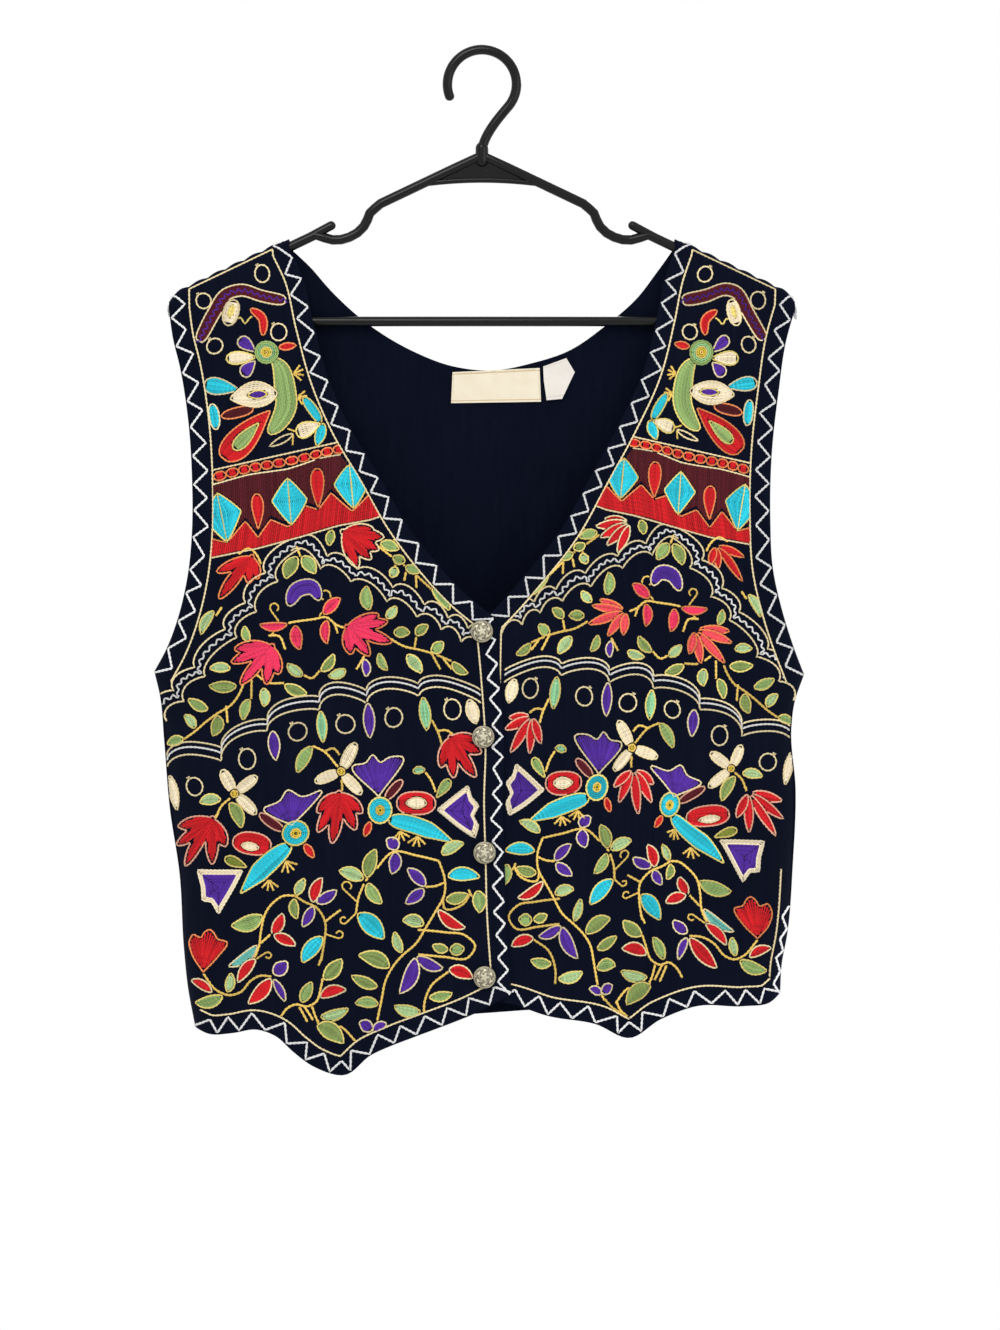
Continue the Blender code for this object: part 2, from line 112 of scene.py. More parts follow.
# Fronts: two panels of near-black navy cotton, cut with a V neck and a pointed hem, pressed flat
# by their embroidery and rolled over the hanger's arms to a seam just behind the shoulder's top.
CLOTH = 1.1
WALL = 1.5
SEAM_GAP = 0.3
SEAM_Y = 4.0
LAP_STEP = WALL + 2 * SEAM_GAP
APEX_Z = -71.5
ARM_SLOPE = 0.477
SHOULDER_R = 5.3
ARM_STRETCH = math.hypot(1, ARM_SLOPE)
SEAM_TURN = 2 * math.pi / 3
SHOULDER_BLEND = 60
# Gathers along the outer shoulder seam: height, pitch, where they start, and their turn and spread
PUCKER = 1.3
PUCKER_PITCH = 13.0
PUCKER_FROM = 141
PUCKER_TURN = 1.65
PUCKER_SPREAD = 0.5
DROOP_FROM = 212
DROOP = 0.04
# Where folds are at their hem place, over what height they drift and fade in, and how creases fade
FOLD_FOOT = -690
FOLD_DRIFT = 200
FOLD_FADE = 160
CREASE_FADE = 2.2
# Where the left front dips under the right one: its reach and top, each with the way it eases in
UNDER_REACH = 60
UNDER_EASE = 28
UNDER_TOP = -330
UNDER_FALL = 60

# The flat pattern's outlines, from top to bottom; hems run from the side inwards
# columns: x, z
RIGHT_NECK = [(-137, -137), (-128, -156), (-119, -193), (-109, -229), (-94, -264), (-75, -296),
              (-55, -331), (-35, -358), (-13, -382), (9, -400)]
RIGHT_CENTRE = [(9, -400), (13, -443), (16, -494), (15, -529), (16, -565), (17, -605), (21, -664)]
RIGHT_ARMHOLE = [(-222, -181), (-219, -202), (-214, -222), (-208, -259), (-205, -303), (-205, -337),
                 (-208, -369), (-216, -402), (-224, -422), (-233, -438)]
RIGHT_SIDE = [(-233, -438), (-229, -455), (-226, -487), (-222, -535), (-215, -582), (-212, -634),
              (-209, -663), (-204, -690)]
RIGHT_HEM = [(-204, -690), (-193, -694), (-176, -693), (-158, -690), (-145, -694), (-132, -705),
             (-118, -715), (-96, -721), (-78, -707), (-60, -699), (-37, -690), (-8, -679), (21, -664)]
LEFT_NECK = [(137, -137), (130, -158), (124, -187), (114, -226), (98, -261), (78, -298), (55, -339),
             (33, -367), (8, -395), (-8, -410)]
LEFT_CENTRE = [(-8, -410), (-9, -472), (-8, -529), (-8, -600), (-6, -667)]
LEFT_ARMHOLE = [(222, -181), (216, -202), (210, -240), (205, -285), (204, -330), (206, -366),
                (213, -396), (221, -420), (229, -440)]
LEFT_SIDE = [(229, -440), (222, -461), (220, -478), (223, -522), (221, -575), (217, -625),
             (213, -647), (212, -666)]
LEFT_HEM = [(212, -666), (204, -672), (185, -674), (151, -673), (126, -682), (104, -695), (80, -685),
            (45, -679), (20, -671), (-6, -667)]

# How far the cloth stands from the hanger's plane in the middle
# columns: z, front, back
DEPTHS = [(-138, 5.3, 5.3), (-200, 9, 8), (-300, 18, 13), (-400, 27, 18), (-500, 34, 23),
          (-600, 39, 27), (-725, 43, 31)]
# The same at the armhole's edge, closing to the side seam at the underarm
# columns: z, front, back
EDGE_DEPTHS = [(-138, 5.3, 5.3), (-180, 5.3, 5.3), (-250, 10, 8), (-330, 12, 9.5), (-395, 8, 8.5),
               (-438, -4, 4), (-725, -4, 4)]
# columns: z, squareness of the section
SECTION = [(-138, 1), (-320, 1), (-450, 2.3), (-725, 2.3)]
# Soft folds down to the hem
# columns: x at the hem, half width, height, z of its top, drift in x towards its top
FRONT_FOLDS = [(-196, 13, 2.0, -500, 6), (-172, 15, -3.6, -520, 10), (-132, 18, 3.0, -480, 14),
               (-100, 15, -2.6, -520, 8), (-62, 9, -2.4, -450, 3), (-36, 14, 1.8, -500, 0),
               (-14, 10, -1.6, -520, -4), (32, 14, -1.8, -430, -6), (70, 20, 2.6, -480, -8),
               (117, 13, -3.4, -500, -6), (152, 18, 2.8, -500, -10), (192, 12, -2.4, -540, -6)]
# Creases and puckers, given one by one
# columns: x and z of one end, x and z of the other, half width, depth (negative is a trough)
FRONT_CREASES = [(-228, -452, -176, -486, 7, -1.6), (-224, -470, -186, -512, 8, 1.2),
                 (-196, -404, -150, -452, 9, -1.1), (-206, -330, -196, -398, 6, 1.0),
                 (-190, -560, -168, -640, 6, -0.9), (-120, -470, -92, -566, 8, -1.0),
                 (-60, -400, -24, -450, 6, -0.9), (-40, -520, -8, -546, 5, 0.7),
                 (-4, -436, 10, -470, 4, -0.8), (-2, -508, 12, -540, 4, 0.8),
                 (-2, -596, 14, -630, 5, -0.9), (-150, -196, -176, -236, 7, -0.8),
                 (-140, -640, -118, -700, 6, 1.0), (-74, -620, -62, -690, 6, -0.9),
                 (224, -456, 178, -492, 7, -1.5), (222, -476, 184, -520, 8, 1.1),
                 (196, -410, 158, -450, 8, -1.0), (208, -320, 196, -392, 6, 0.9),
                 (186, -560, 176, -630, 6, -0.9), (128, -480, 96, -560, 8, -1.0),
                 (70, -400, 34, -444, 6, -0.9), (44, -520, 14, -560, 6, 0.8),
                 (152, -196, 178, -240, 7, -0.8), (140, -600, 122, -668, 6, 0.9),
                 (70, -600, 62, -660, 6, -0.9), (28, -580, 40, -650, 5, 0.8)]
# The cloth's look: threads a metre, slubs, patches a metre, linear colours, relief in metres
COTTON_THREADS = 1700
SLUB_SCALE = 260
SLUB_STRETCH = (1, 0.12, 1)
FADED_PATCHES = 11
NAVY_DEEP = (0.0010, 0.0017, 0.0050)
NAVY_FADED = (0.0044, 0.0064, 0.0172)
COTTON_RELIEF = 0.00016
FRONT_ROWS = 170
FRONT_COLUMNS = 72
ROLL_ROWS = 12
CROWDING = 1.3


def hermite(knots, values, at):
    """A smooth curve through the values at rising knots, read at the given places."""
    slopes = np.gradient(values, knots, axis=0)
    span = np.clip(np.searchsorted(knots, at, side="right") - 1, 0, len(knots) - 2)
    width = knots[span + 1] - knots[span]
    t = np.clip((at - knots[span]) / width, 0, 1)
    if values.ndim > 1:
        t, width = t[..., None], width[..., None]
    return ((2 * t**3 - 3 * t**2 + 1) * values[span] + (t**3 - 2 * t**2 + t) * width * slopes[span]
            + (3 * t**2 - 2 * t**3) * values[span + 1] + (t**3 - t**2) * width * slopes[span + 1])


def lengths(points):
    """The distance along a broken line at each of its points."""
    return np.append(0, np.cumsum(np.linalg.norm(np.diff(points, axis=0), axis=1)))


def read_line(points, at):
    """Points at the given distances along a broken line."""
    run = lengths(points)
    return np.column_stack([np.interp(at, run, points[:, axis]) for axis in range(points.shape[1])])


def smooth(points, count=200):
    """A smooth curve through a table's points, as evenly spaced points."""
    knots = np.array(points, float)
    chord = lengths(knots)
    fine = hermite(chord, knots, np.linspace(0, chord[-1], 4 * count))
    return read_line(fine, np.linspace(0, lengths(fine)[-1], count))


def profile(table, column, z):
    """A column of a table that has z first, read smoothly at heights z."""
    rows = np.array(table, float)[::-1]
    return hermite(rows[:, 0], rows[:, column], np.clip(z, rows[0, 0], rows[-1, 0]))


def smooth_step(t):
    """An even rise from 0 to 1 that starts and ends flat."""
    t = np.clip(t, 0, 1)
    return t * t * (3 - 2 * t)


def shoulder_line(x):
    """Height of the arm's axis under the shoulder, which droops past the hanger's end."""
    past = np.maximum(np.abs(x) - DROOP_FROM, 0)
    return APEX_Z - ARM_SLOPE * np.abs(x) - DROOP * past**2


side_edges = []
for armhole, side in ((RIGHT_ARMHOLE, RIGHT_SIDE), (LEFT_ARMHOLE, LEFT_SIDE)):
    edge = np.vstack([smooth(armhole, 60), smooth(side, 60)])
    side_edges.append(edge[np.argsort(edge[:, 1])])


def side_reach(x, z):
    """How far the garment reaches sideways at height z, on the side where x is."""
    right, left = (np.interp(z, edge[:, 1], np.abs(edge[:, 0])) for edge in side_edges)
    return np.where(x < 0, right, left)


def folds(table, x, z):
    """Soft ridges and troughs that widen out of nothing and run down to the hem."""
    total = np.zeros_like(x)
    for at, half_width, height, top, drift in table:
        middle = at + drift * smooth_step((z - FOLD_FOOT) / FOLD_DRIFT)
        total += height * smooth_step((top - z) / FOLD_FADE) * np.exp(-(((x - middle) / half_width) ** 2))
    return total


def creases(table, x, z):
    """Soft troughs and ridges that fade out at both ends."""
    total = np.zeros_like(x)
    for x0, z0, x1, z1, half_width, depth in table:
        run = math.hypot(x1 - x0, z1 - z0)
        way_x, way_z = (x1 - x0) / run, (z1 - z0) / run
        along = ((x - x0) * way_x + (z - z0) * way_z) / run
        aside = (x - x0) * way_z - (z - z0) * way_x
        ends = np.exp(-((CREASE_FADE * (along - 0.5)) ** 4))
        total += depth * ends * np.exp(-((aside / half_width) ** 2))
    return total


def stand_off(x, z, column, fold_table, crease_table):
    """Distance of the cloth's outer face from the hanger's plane, for a front (1) or the back (2)."""
    across = np.clip(np.abs(x) / side_reach(x, z), 0, 1)
    power = profile(SECTION, 1, z)
    section = np.clip(1 - across ** np.maximum(power, 2), 0, 1) ** (1 / power)
    edge = profile(EDGE_DEPTHS, column, z)
    lift = profile(DEPTHS, column, z) - edge + folds(fold_table, x, z) + creases(crease_table, x, z)
    below = smooth_step((shoulder_line(x) - z) / SHOULDER_BLEND)
    return SHOULDER_R + (edge + lift * section - SHOULDER_R) * below


def roll(x, z, y, turn):
    """The cloth's place: flat z above the shoulder line runs round the arm, towards -turn."""
    line = shoulder_line(x)
    angle = np.maximum(z - line, 0) / (SHOULDER_R * ARM_STRETCH)
    gathers = PUCKER * np.abs(np.sin(math.pi * x / PUCKER_PITCH))
    gathers *= np.exp(-(((angle - PUCKER_TURN) / PUCKER_SPREAD) ** 2))
    radius = SHOULDER_R + np.where(np.abs(x) > PUCKER_FROM, gathers, 0)
    rolled_y = turn * radius * np.cos(angle)
    rolled_z = line + radius * ARM_STRETCH * np.sin(angle)
    over = z > line
    return np.stack([x, np.where(over, rolled_y, y), np.where(over, rolled_z, z)], axis=-1)


def front_form(x, z, lap):
    """Places on a front's outer face, in mm; lap is how far it lies behind the other front."""
    y = -stand_off(x, z, 1, FRONT_FOLDS, FRONT_CREASES)
    under = smooth_step((UNDER_REACH - np.abs(x)) / UNDER_EASE)
    under *= smooth_step((UNDER_TOP - z) / UNDER_FALL)
    y = np.minimum(y + lap * under, SEAM_Y - SEAM_GAP / 2)
    return roll(x, z, y, -1)


def right_form(x, z):
    return front_form(x, z, 0)


def left_form(x, z):
    return front_form(x, z, LAP_STEP)


def raised(form, x, z, lift, facing):
    """Places lifted off a form; facing is -1 where it looks at the viewer and 1 where it looks away."""
    step = 0.5
    place = form(x, z)
    normal = np.cross(form(x + step, z) - place, place - form(x, z - step)) * -facing
    normal /= np.linalg.norm(normal, axis=1, keepdims=True)
    return place + normal * lift[:, None]


def coons(top, bottom, inner, outer, s, t):
    """A patch spanned between four edges, each read at s (across) or t (down)."""
    s, t = s[None, :, None], t[:, None, None]
    corners = ((1 - s) * (1 - t) * top[0] + s * (1 - t) * top[-1]
               + (1 - s) * t * bottom[0] + s * t * bottom[-1])
    return ((1 - t) * top[None] + t * bottom[None]
            + (1 - s) * inner[:, None] + s * outer[:, None] - corners)


def two_stretches(upper, lower, rows):
    """One edge of two outlines end to end, with half the rows on each."""
    half = rows // 2
    return np.vstack([smooth(upper, half + 1), smooth(lower, rows - half + 1)[1:]])


def grid_piece(name, places, pattern, present=None):
    """A sheet from rows of places in mm, with its flat pattern as its UV map."""
    rows, columns = places.shape[:2]
    bpy.ops.object.select_all(action="DESELECT")
    bpy.ops.mesh.primitive_grid_add(x_subdivisions=columns - 1, y_subdivisions=rows - 1, size=1)
    piece = bpy.context.object
    piece.name = name
    mesh = piece.data
    mesh.vertices.foreach_set("co", (places[::-1] * MM).ravel())
    corner = np.empty(len(mesh.loops), np.int32)
    mesh.loops.foreach_get("vertex_index", corner)
    mesh.uv_layers[0].name = "Pattern"
    mesh.uv_layers["Pattern"].uv.foreach_set("vector", (pattern[::-1].reshape(-1, 2)[corner] * MM).ravel())
    if present is not None:
        build = bmesh.new()
        build.from_mesh(mesh)
        build.faces.ensure_lookup_table()
        gone = [build.faces[i] for i in np.flatnonzero(~present[::-1].ravel()).tolist()]
        bmesh.ops.delete(build, geom=gone, context="FACES")
        build.to_mesh(mesh)
        build.free()
    mesh.update()
    return piece


def pick(*pieces):
    """Selects only these pieces, with the first of them active."""
    bpy.ops.object.select_all(action="DESELECT")
    for piece in pieces:
        piece.select_set(True)
    bpy.context.view_layer.objects.active = pieces[0]


def thicken(piece, wall):
    """Gives a sheet its wall, inwards from the outer face, and smooth shading."""
    pick(piece)
    skin = piece.modifiers.new("wall", "SOLIDIFY")
    skin.thickness = wall * MM
    skin.offset = -1
    skin.use_even_offset = True
    bpy.ops.object.modifier_apply(modifier=skin.name)
    bpy.ops.object.shade_smooth_by_angle(angle=math.radians(50))


def node(tree, kind, **settings):
    """A new shader node with its settings made."""
    made = tree.nodes.new(kind)
    for key, value in settings.items():
        setattr(made, key, value)
    return made


def finish_material(name, constants):
    """A new material with constants on its shader's own sockets, as (material, tree, shader)."""
    made = bpy.data.materials.new(name)
    made.use_nodes = True
    tree = made.node_tree
    shader = tree.nodes["Principled BSDF"]
    for socket, value in constants.items():
        shader.inputs[socket].default_value = value
    return made, tree, shader


def node_group(name, inputs, outputs):
    """A new node group with sockets by name and kind, as (group, its inlet, its outlet)."""
    group = bpy.data.node_groups.new(name, "ShaderNodeTree")
    for in_out, sockets in (("INPUT", inputs), ("OUTPUT", outputs)):
        for label, kind in sockets.items():
            group.interface.new_socket(label, in_out=in_out, socket_type=f"NodeSocket{kind}")
    return group, node(group, "NodeGroupInput"), node(group, "NodeGroupOutput")


def noise(tree, place, scale, detail=2):
    """A noise pattern's value over the given places."""
    made = node(tree, "ShaderNodeTexNoise")
    made.inputs["Scale"].default_value = scale
    made.inputs["Detail"].default_value = detail
    tree.links.new(place, made.inputs["Vector"])
    return made.outputs["Fac"]


def object_place(tree):
    """Places on the piece, in metres."""
    return node(tree, "ShaderNodeTexCoord").outputs["Object"]


def maths(tree, operation, first, second=None, third=None):
    """One step of arithmetic on numbers and other nodes' values."""
    step = node(tree, "ShaderNodeMath", operation=operation)
    for slot, value in enumerate((first, second, third)):
        if value is None:
            continue
        if isinstance(value, (int, float)):
            step.inputs[slot].default_value = value
        else:
            tree.links.new(value, step.inputs[slot])
    return step.outputs[0]


def colour_between(tree, mask, dark, light):
    """A colour from dark, where the mask is 0, to light, where it is 1."""
    ramp = node(tree, "ShaderNodeMix", data_type="RGBA")
    tree.links.new(mask, ramp.inputs["Factor"])
    ramp.inputs[6].default_value = (*dark, 1)
    ramp.inputs[7].default_value = (*light, 1)
    return ramp.outputs[2]


def weave_group():
    """Plain weave on a pattern's own metres: a height, and the slubs along the warp."""
    group, inlet, outlet = node_group("plain_weave", {"Place": "Vector", "Threads per metre": "Float"},
                                      {"Height": "Float", "Slub": "Float"})
    apart = node(group, "ShaderNodeSeparateXYZ")
    group.links.new(inlet.outputs["Place"], apart.inputs[0])
    turns = [maths(group, "MULTIPLY", maths(group, "MULTIPLY", apart.outputs[k], math.pi),
                   inlet.outputs["Threads per metre"]) for k in (0, 1)]
    waves = [maths(group, "SINE", turn) for turn in turns]
    cross = maths(group, "MULTIPLY", waves[0], waves[1])
    humps = maths(group, "MULTIPLY", maths(group, "ABSOLUTE", waves[0]), maths(group, "ABSOLUTE", waves[1]))
    height = maths(group, "ADD", maths(group, "MULTIPLY", cross, 0.35), humps)
    group.links.new(height, outlet.inputs["Height"])
    stretch = node(group, "ShaderNodeMapping")
    stretch.inputs["Scale"].default_value = SLUB_STRETCH
    group.links.new(inlet.outputs["Place"], stretch.inputs["Vector"])
    group.links.new(noise(group, stretch.outputs[0], SLUB_SCALE, 3), outlet.inputs["Slub"])
    return group


WEAVE = weave_group()


def woven(tree, threads):
    """The weave at so many threads a metre over a piece's pattern, as (its node, the places)."""
    uv = node(tree, "ShaderNodeUVMap", uv_map="Pattern")
    weave = node(tree, "ShaderNodeGroup", node_tree=WEAVE)
    weave.inputs["Threads per metre"].default_value = threads
    tree.links.new(uv.outputs[0], weave.inputs["Place"])
    return weave, uv.outputs[0]


def bump(tree, shader, height, distance, strength):
    """Gives a shader the relief of a height pattern, so many metres deep."""
    bumped = node(tree, "ShaderNodeBump")
    bumped.inputs["Strength"].default_value = strength
    bumped.inputs["Distance"].default_value = distance
    tree.links.new(height, bumped.inputs["Height"])
    tree.links.new(bumped.outputs[0], shader.inputs["Normal"])


def navy_cotton():
    """Dyed plain weave, a little faded in soft patches."""
    made, tree, shader = finish_material("navy_cotton_cloth", {
        "Roughness": 0.85, "Specular IOR Level": 0.025, "Sheen Weight": 0.016, "Sheen Roughness": 0.5,
        "Sheen Tint": (0.45, 0.55, 1, 1)})
    weave, _ = woven(tree, COTTON_THREADS)
    worn = noise(tree, object_place(tree), FADED_PATCHES, 4)
    fade = maths(tree, "MULTIPLY_ADD", weave.outputs["Slub"], 0.5, maths(tree, "MULTIPLY", worn, 0.5))
    tree.links.new(colour_between(tree, fade, NAVY_DEEP, NAVY_FADED), shader.inputs["Base Color"])
    height = maths(tree, "ADD", weave.outputs["Height"], weave.outputs["Slub"])
    bump(tree, shader, height, COTTON_RELIEF, 0.7)
    return made


COTTON = navy_cotton()


def front_panel(name, neck, centre, armhole, side, hem, form):
    """One front as a thin wall, from the seam behind the shoulder down to the hem."""
    s = 1 - (1 - np.linspace(0, 1, FRONT_COLUMNS + 1)) ** CROWDING
    top_x = neck[0][0] + (armhole[0][0] - neck[0][0]) * s
    top = np.column_stack([top_x, shoulder_line(top_x)])
    hem_line = smooth(hem[::-1], 400)
    bottom = read_line(hem_line, s * lengths(hem_line)[-1])
    flat = coons(top, bottom, two_stretches(neck, centre, FRONT_ROWS),
                 two_stretches(armhole, side, FRONT_ROWS), s, np.linspace(0, 1, FRONT_ROWS + 1))
    rise = np.linspace(SEAM_TURN, 0, ROLL_ROWS + 1)[:-1, None, None] * SHOULDER_R * ARM_STRETCH
    flat = np.vstack([top[None] + rise * (0, 1), flat])
    places = form(flat[..., 0], flat[..., 1])
    if name.endswith("right"):
        places, flat = places[:, ::-1], flat[:, ::-1]
    piece = grid_piece(name, places, flat)
    thicken(piece, CLOTH)
    piece.data.materials.append(COTTON)
    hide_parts(name.replace("cloth_", ""))
    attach(piece, "root")
    return piece


right_front = front_panel("cloth_front_right", RIGHT_NECK, RIGHT_CENTRE, RIGHT_ARMHOLE, RIGHT_SIDE,
                          RIGHT_HEM, right_form)
left_front = front_panel("cloth_front_left", LEFT_NECK, LEFT_CENTRE, LEFT_ARMHOLE, LEFT_SIDE,
                         LEFT_HEM, left_form)

# Embroidery, and first its edging: every motif is cotton thread in chain stitch, worked flat on the
# fronts before they were sewn up. A white zigzag runs along each free edge, a cream line inside it,
# and both turn up the left front's side seam, where they show from the front.
STITCH = 3.0
LINE = 1.75
FILL = 2.1
PITCH = 1.4
LINE_HEIGHT = 0.95
FILL_HEIGHT = 0.75
SEWN_IN = -0.15
ZIGZAG_EDGE = 1.2
# columns: zigzag's pitch, how deep its inner corners lie, and the cream line's inset
NECK_EDGING = (18.6, 11.0, 12.8)
CENTRE_EDGING = (16.6, 8.4, 13.4)
LEFT_CENTRE_INSET = 21.5
HEM_EDGING = (17.4, 11.0, 13.6)
ARMHOLE_EDGING = (19.4, 10.8, 14.6)
SHOULDER_EDGING = (13, 7.2, 8.4)
# The turned-up stretch: its edging, where its cream line ends and how much lower the zigzag does
VENT_EDGING = (15, 6.0, 9.0)
VENT_TOP = -578
VENT_DROP = 26
WHITE_WIDTH = 2.2
WHITE_HEIGHT = 1.1
# How far the zigzag's corners wander along the edge, as a share of the pitch, and across it
WANDER = 0.09
WANDER_IN = 0.9
HAND_DRIFT = 0.5
# A stitch's narrow end, as a share of its width, and the steps in which a row is cut to length
PINCH = 0.72
FINE_STEP = 0.7
# How far rows keep from the side seam, and the centre line from the hem's line
SEAM_CLEAR = 0.8
HEM_CLEAR = 4
# How the left front's motifs lie against the right front's: mirrored, closer and a little higher
MIRROR_AT = 15
MIRROR_SCALE = 0.92
# columns: z on the right front, how much higher on the left
LEFT_LIFT = [(-130, 0), (-220, 0), (-345, 8), (-430, 13), (-530, 18), (-640, 21), (-730, 26)]
# Where the left front's motifs stray from there, as places on the right front
# columns: x, z, reach, moves in x and z
LEFT_STRAYS = [(-38, -548, 42, 0, -5), (-150, -566, 26, -6, 1), (-122, -640, 55, -6, 9)]

# Thread colours, as paint values from 0 to 255
THREADS = {"white": (246, 246, 248), "cream": (248, 228, 178), "ivory": (254, 238, 204),
           "straw": (238, 216, 124), "gold": (246, 206, 104), "yellow": (250, 222, 70),
           "orange": (248, 148, 90), "peach": (246, 184, 154), "coral": (224, 76, 84),
           "red": (190, 24, 32), "pink": (216, 52, 88), "green": (136, 162, 98),
           "sage": (158, 184, 132), "moss": (122, 140, 80), "mint": (134, 188, 142),
           "olive": (116, 124, 50), "turquoise": (40, 182, 200), "slate": (96, 166, 156),
           "purple": (78, 42, 144), "maroon": (80, 16, 28), "navy": (24, 27, 48)}
# A chain's loops: their bow, how steeply a strand falls off, and its plies' turns and height
LOOP_BOW = 0.7
STRAND_FALL = 1.8
PLY_ALONG = 46
PLY_ACROSS = 5
PLY_HEIGHT = 0.12
# Painted highlight and painted shade of thread against its paint value, how much rows differ at random, how
# far the loops' height paints shade into their hollows and highlight onto their crests, and the loops' relief
# in metres
PAINT_GAMMA = 2.2
THREAD_TONE_AND_HIGHLIGHT_GAIN = 1.45
THREAD_HIGHLIGHT_LIFT = 0.006
THREAD_SHADE = 0.5
TONE_WEIGHT = 0.55
LOOP_SHADE_AND_HIGHLIGHT_WEIGHT = 0.6
THREAD_RELIEF = 0.0003


def chain_stitch_group():
    """A chain of plied loops along U with its width across V, as a height."""
    group, inlet, outlet = node_group("chain_stitch", {"Along and across": "Vector"}, {"Height": "Float"})
    apart = node(group, "ShaderNodeSeparateXYZ")
    group.links.new(inlet.outputs[0], apart.inputs[0])
    share = maths(group, "FRACT", apart.outputs[0])
    hump = maths(group, "SINE", maths(group, "MULTIPLY", share, math.pi))
    bow = maths(group, "MULTIPLY", hump, LOOP_BOW)
    off = maths(group, "ABSOLUTE", maths(group, "SUBTRACT", maths(group, "ABSOLUTE", apart.outputs[1]), bow))
    strand = maths(group, "SUBTRACT", 1, maths(group, "MULTIPLY", off, STRAND_FALL))
    ply = maths(group, "SINE", maths(group, "ADD", maths(group, "MULTIPLY", apart.outputs[0], PLY_ALONG),
                                     maths(group, "MULTIPLY", apart.outputs[1], PLY_ACROSS)))
    height = maths(group, "MULTIPLY_ADD", ply, PLY_HEIGHT, maths(group, "MAXIMUM", strand, 0))
    group.links.new(height, outlet.inputs["Height"])
    return group


CHAIN = chain_stitch_group()


def thread_material(name):
    """Mercerised cotton in one colour, each row of it a little lighter or darker at random, with painted
    shade in its loops' hollows and a painted highlight on their crests.
    """
    made, tree, shader = finish_material(f"{name}_thread", {
        "Roughness": 0.6, "Specular IOR Level": 0.14, "Sheen Weight": 0.04, "Sheen Roughness": 0.4})
    uv = node(tree, "ShaderNodeUVMap", uv_map="Stitch")
    chain = node(tree, "ShaderNodeGroup", node_tree=CHAIN)
    tree.links.new(uv.outputs[0], chain.inputs[0])
    tone = node(tree, "ShaderNodeAttribute", attribute_name="tone")
    # A shaded and a lit copy of the colour: the rows' random tone and the loops' height mix them, painting
    # shade into the loops' hollows and a highlight onto their crests
    base = [(value / 255) ** PAINT_GAMMA for value in THREADS[name]]
    tone_and_highlight_gain = min(THREAD_TONE_AND_HIGHLIGHT_GAIN, 1 / max(base))
    light = [min(1, tone_and_highlight_gain * value + THREAD_HIGHLIGHT_LIFT) for value in base]
    dark = [THREAD_SHADE * value for value in base]
    shade = maths(tree, "MULTIPLY_ADD", tone.outputs["Fac"], TONE_WEIGHT,
                  maths(tree, "MULTIPLY", chain.outputs["Height"], LOOP_SHADE_AND_HIGHLIGHT_WEIGHT))
    tree.links.new(colour_between(tree, shade, dark, light), shader.inputs["Base Color"])
    bump(tree, shader, chain.outputs["Height"], THREAD_RELIEF, 0.6)
    return made


THREAD_MATERIALS = {name: thread_material(name) for name in THREADS}


def on_left(points):
    """The place on the left front of a motif that was drawn for the right one."""
    table = np.array(LEFT_LIFT, float)[::-1]
    x, z = points.T
    place = np.column_stack([MIRROR_AT - MIRROR_SCALE * x, z + np.interp(z, table[:, 0], table[:, 1])])
    for stray_x, stray_z, reach, across, up in LEFT_STRAYS:
        near = np.exp(-((x - stray_x) ** 2 + (z - stray_z) ** 2) / reach**2)
        place += near[:, None] * (across, up)
    return place


def hand_drift(points, side):
    """The small unevenness of work done by hand, which differs between the fronts."""
    phase = 0.0 if side == "right" else 2.1
    x, z = points[:, 0], points[:, 1]
    return points + HAND_DRIFT * np.column_stack([np.sin(z / 11 + phase) + np.sin(x / 7.3 + 2 * phase),
                                                  np.sin(x / 9.7 + phase) + np.sin(z / 6.1 - phase)])


def line(colour, points, closed=False, width=LINE, height=LINE_HEIGHT):
    """One row of chain stitch through the points as given."""
    return colour, np.array(points, float), closed, width, height


def curve(colour, points, width=LINE):
    """One row of chain stitch on a smooth curve through a few points."""
    return line(colour, smooth(points, 60), width=width)


def sides_of(path):
    """Directions to the left of a path, one for each of its points."""
    way = np.gradient(path, axis=0)
    way /= np.linalg.norm(way, axis=1, keepdims=True) + 1e-9
    return np.column_stack([-way[:, 1], way[:, 0]])


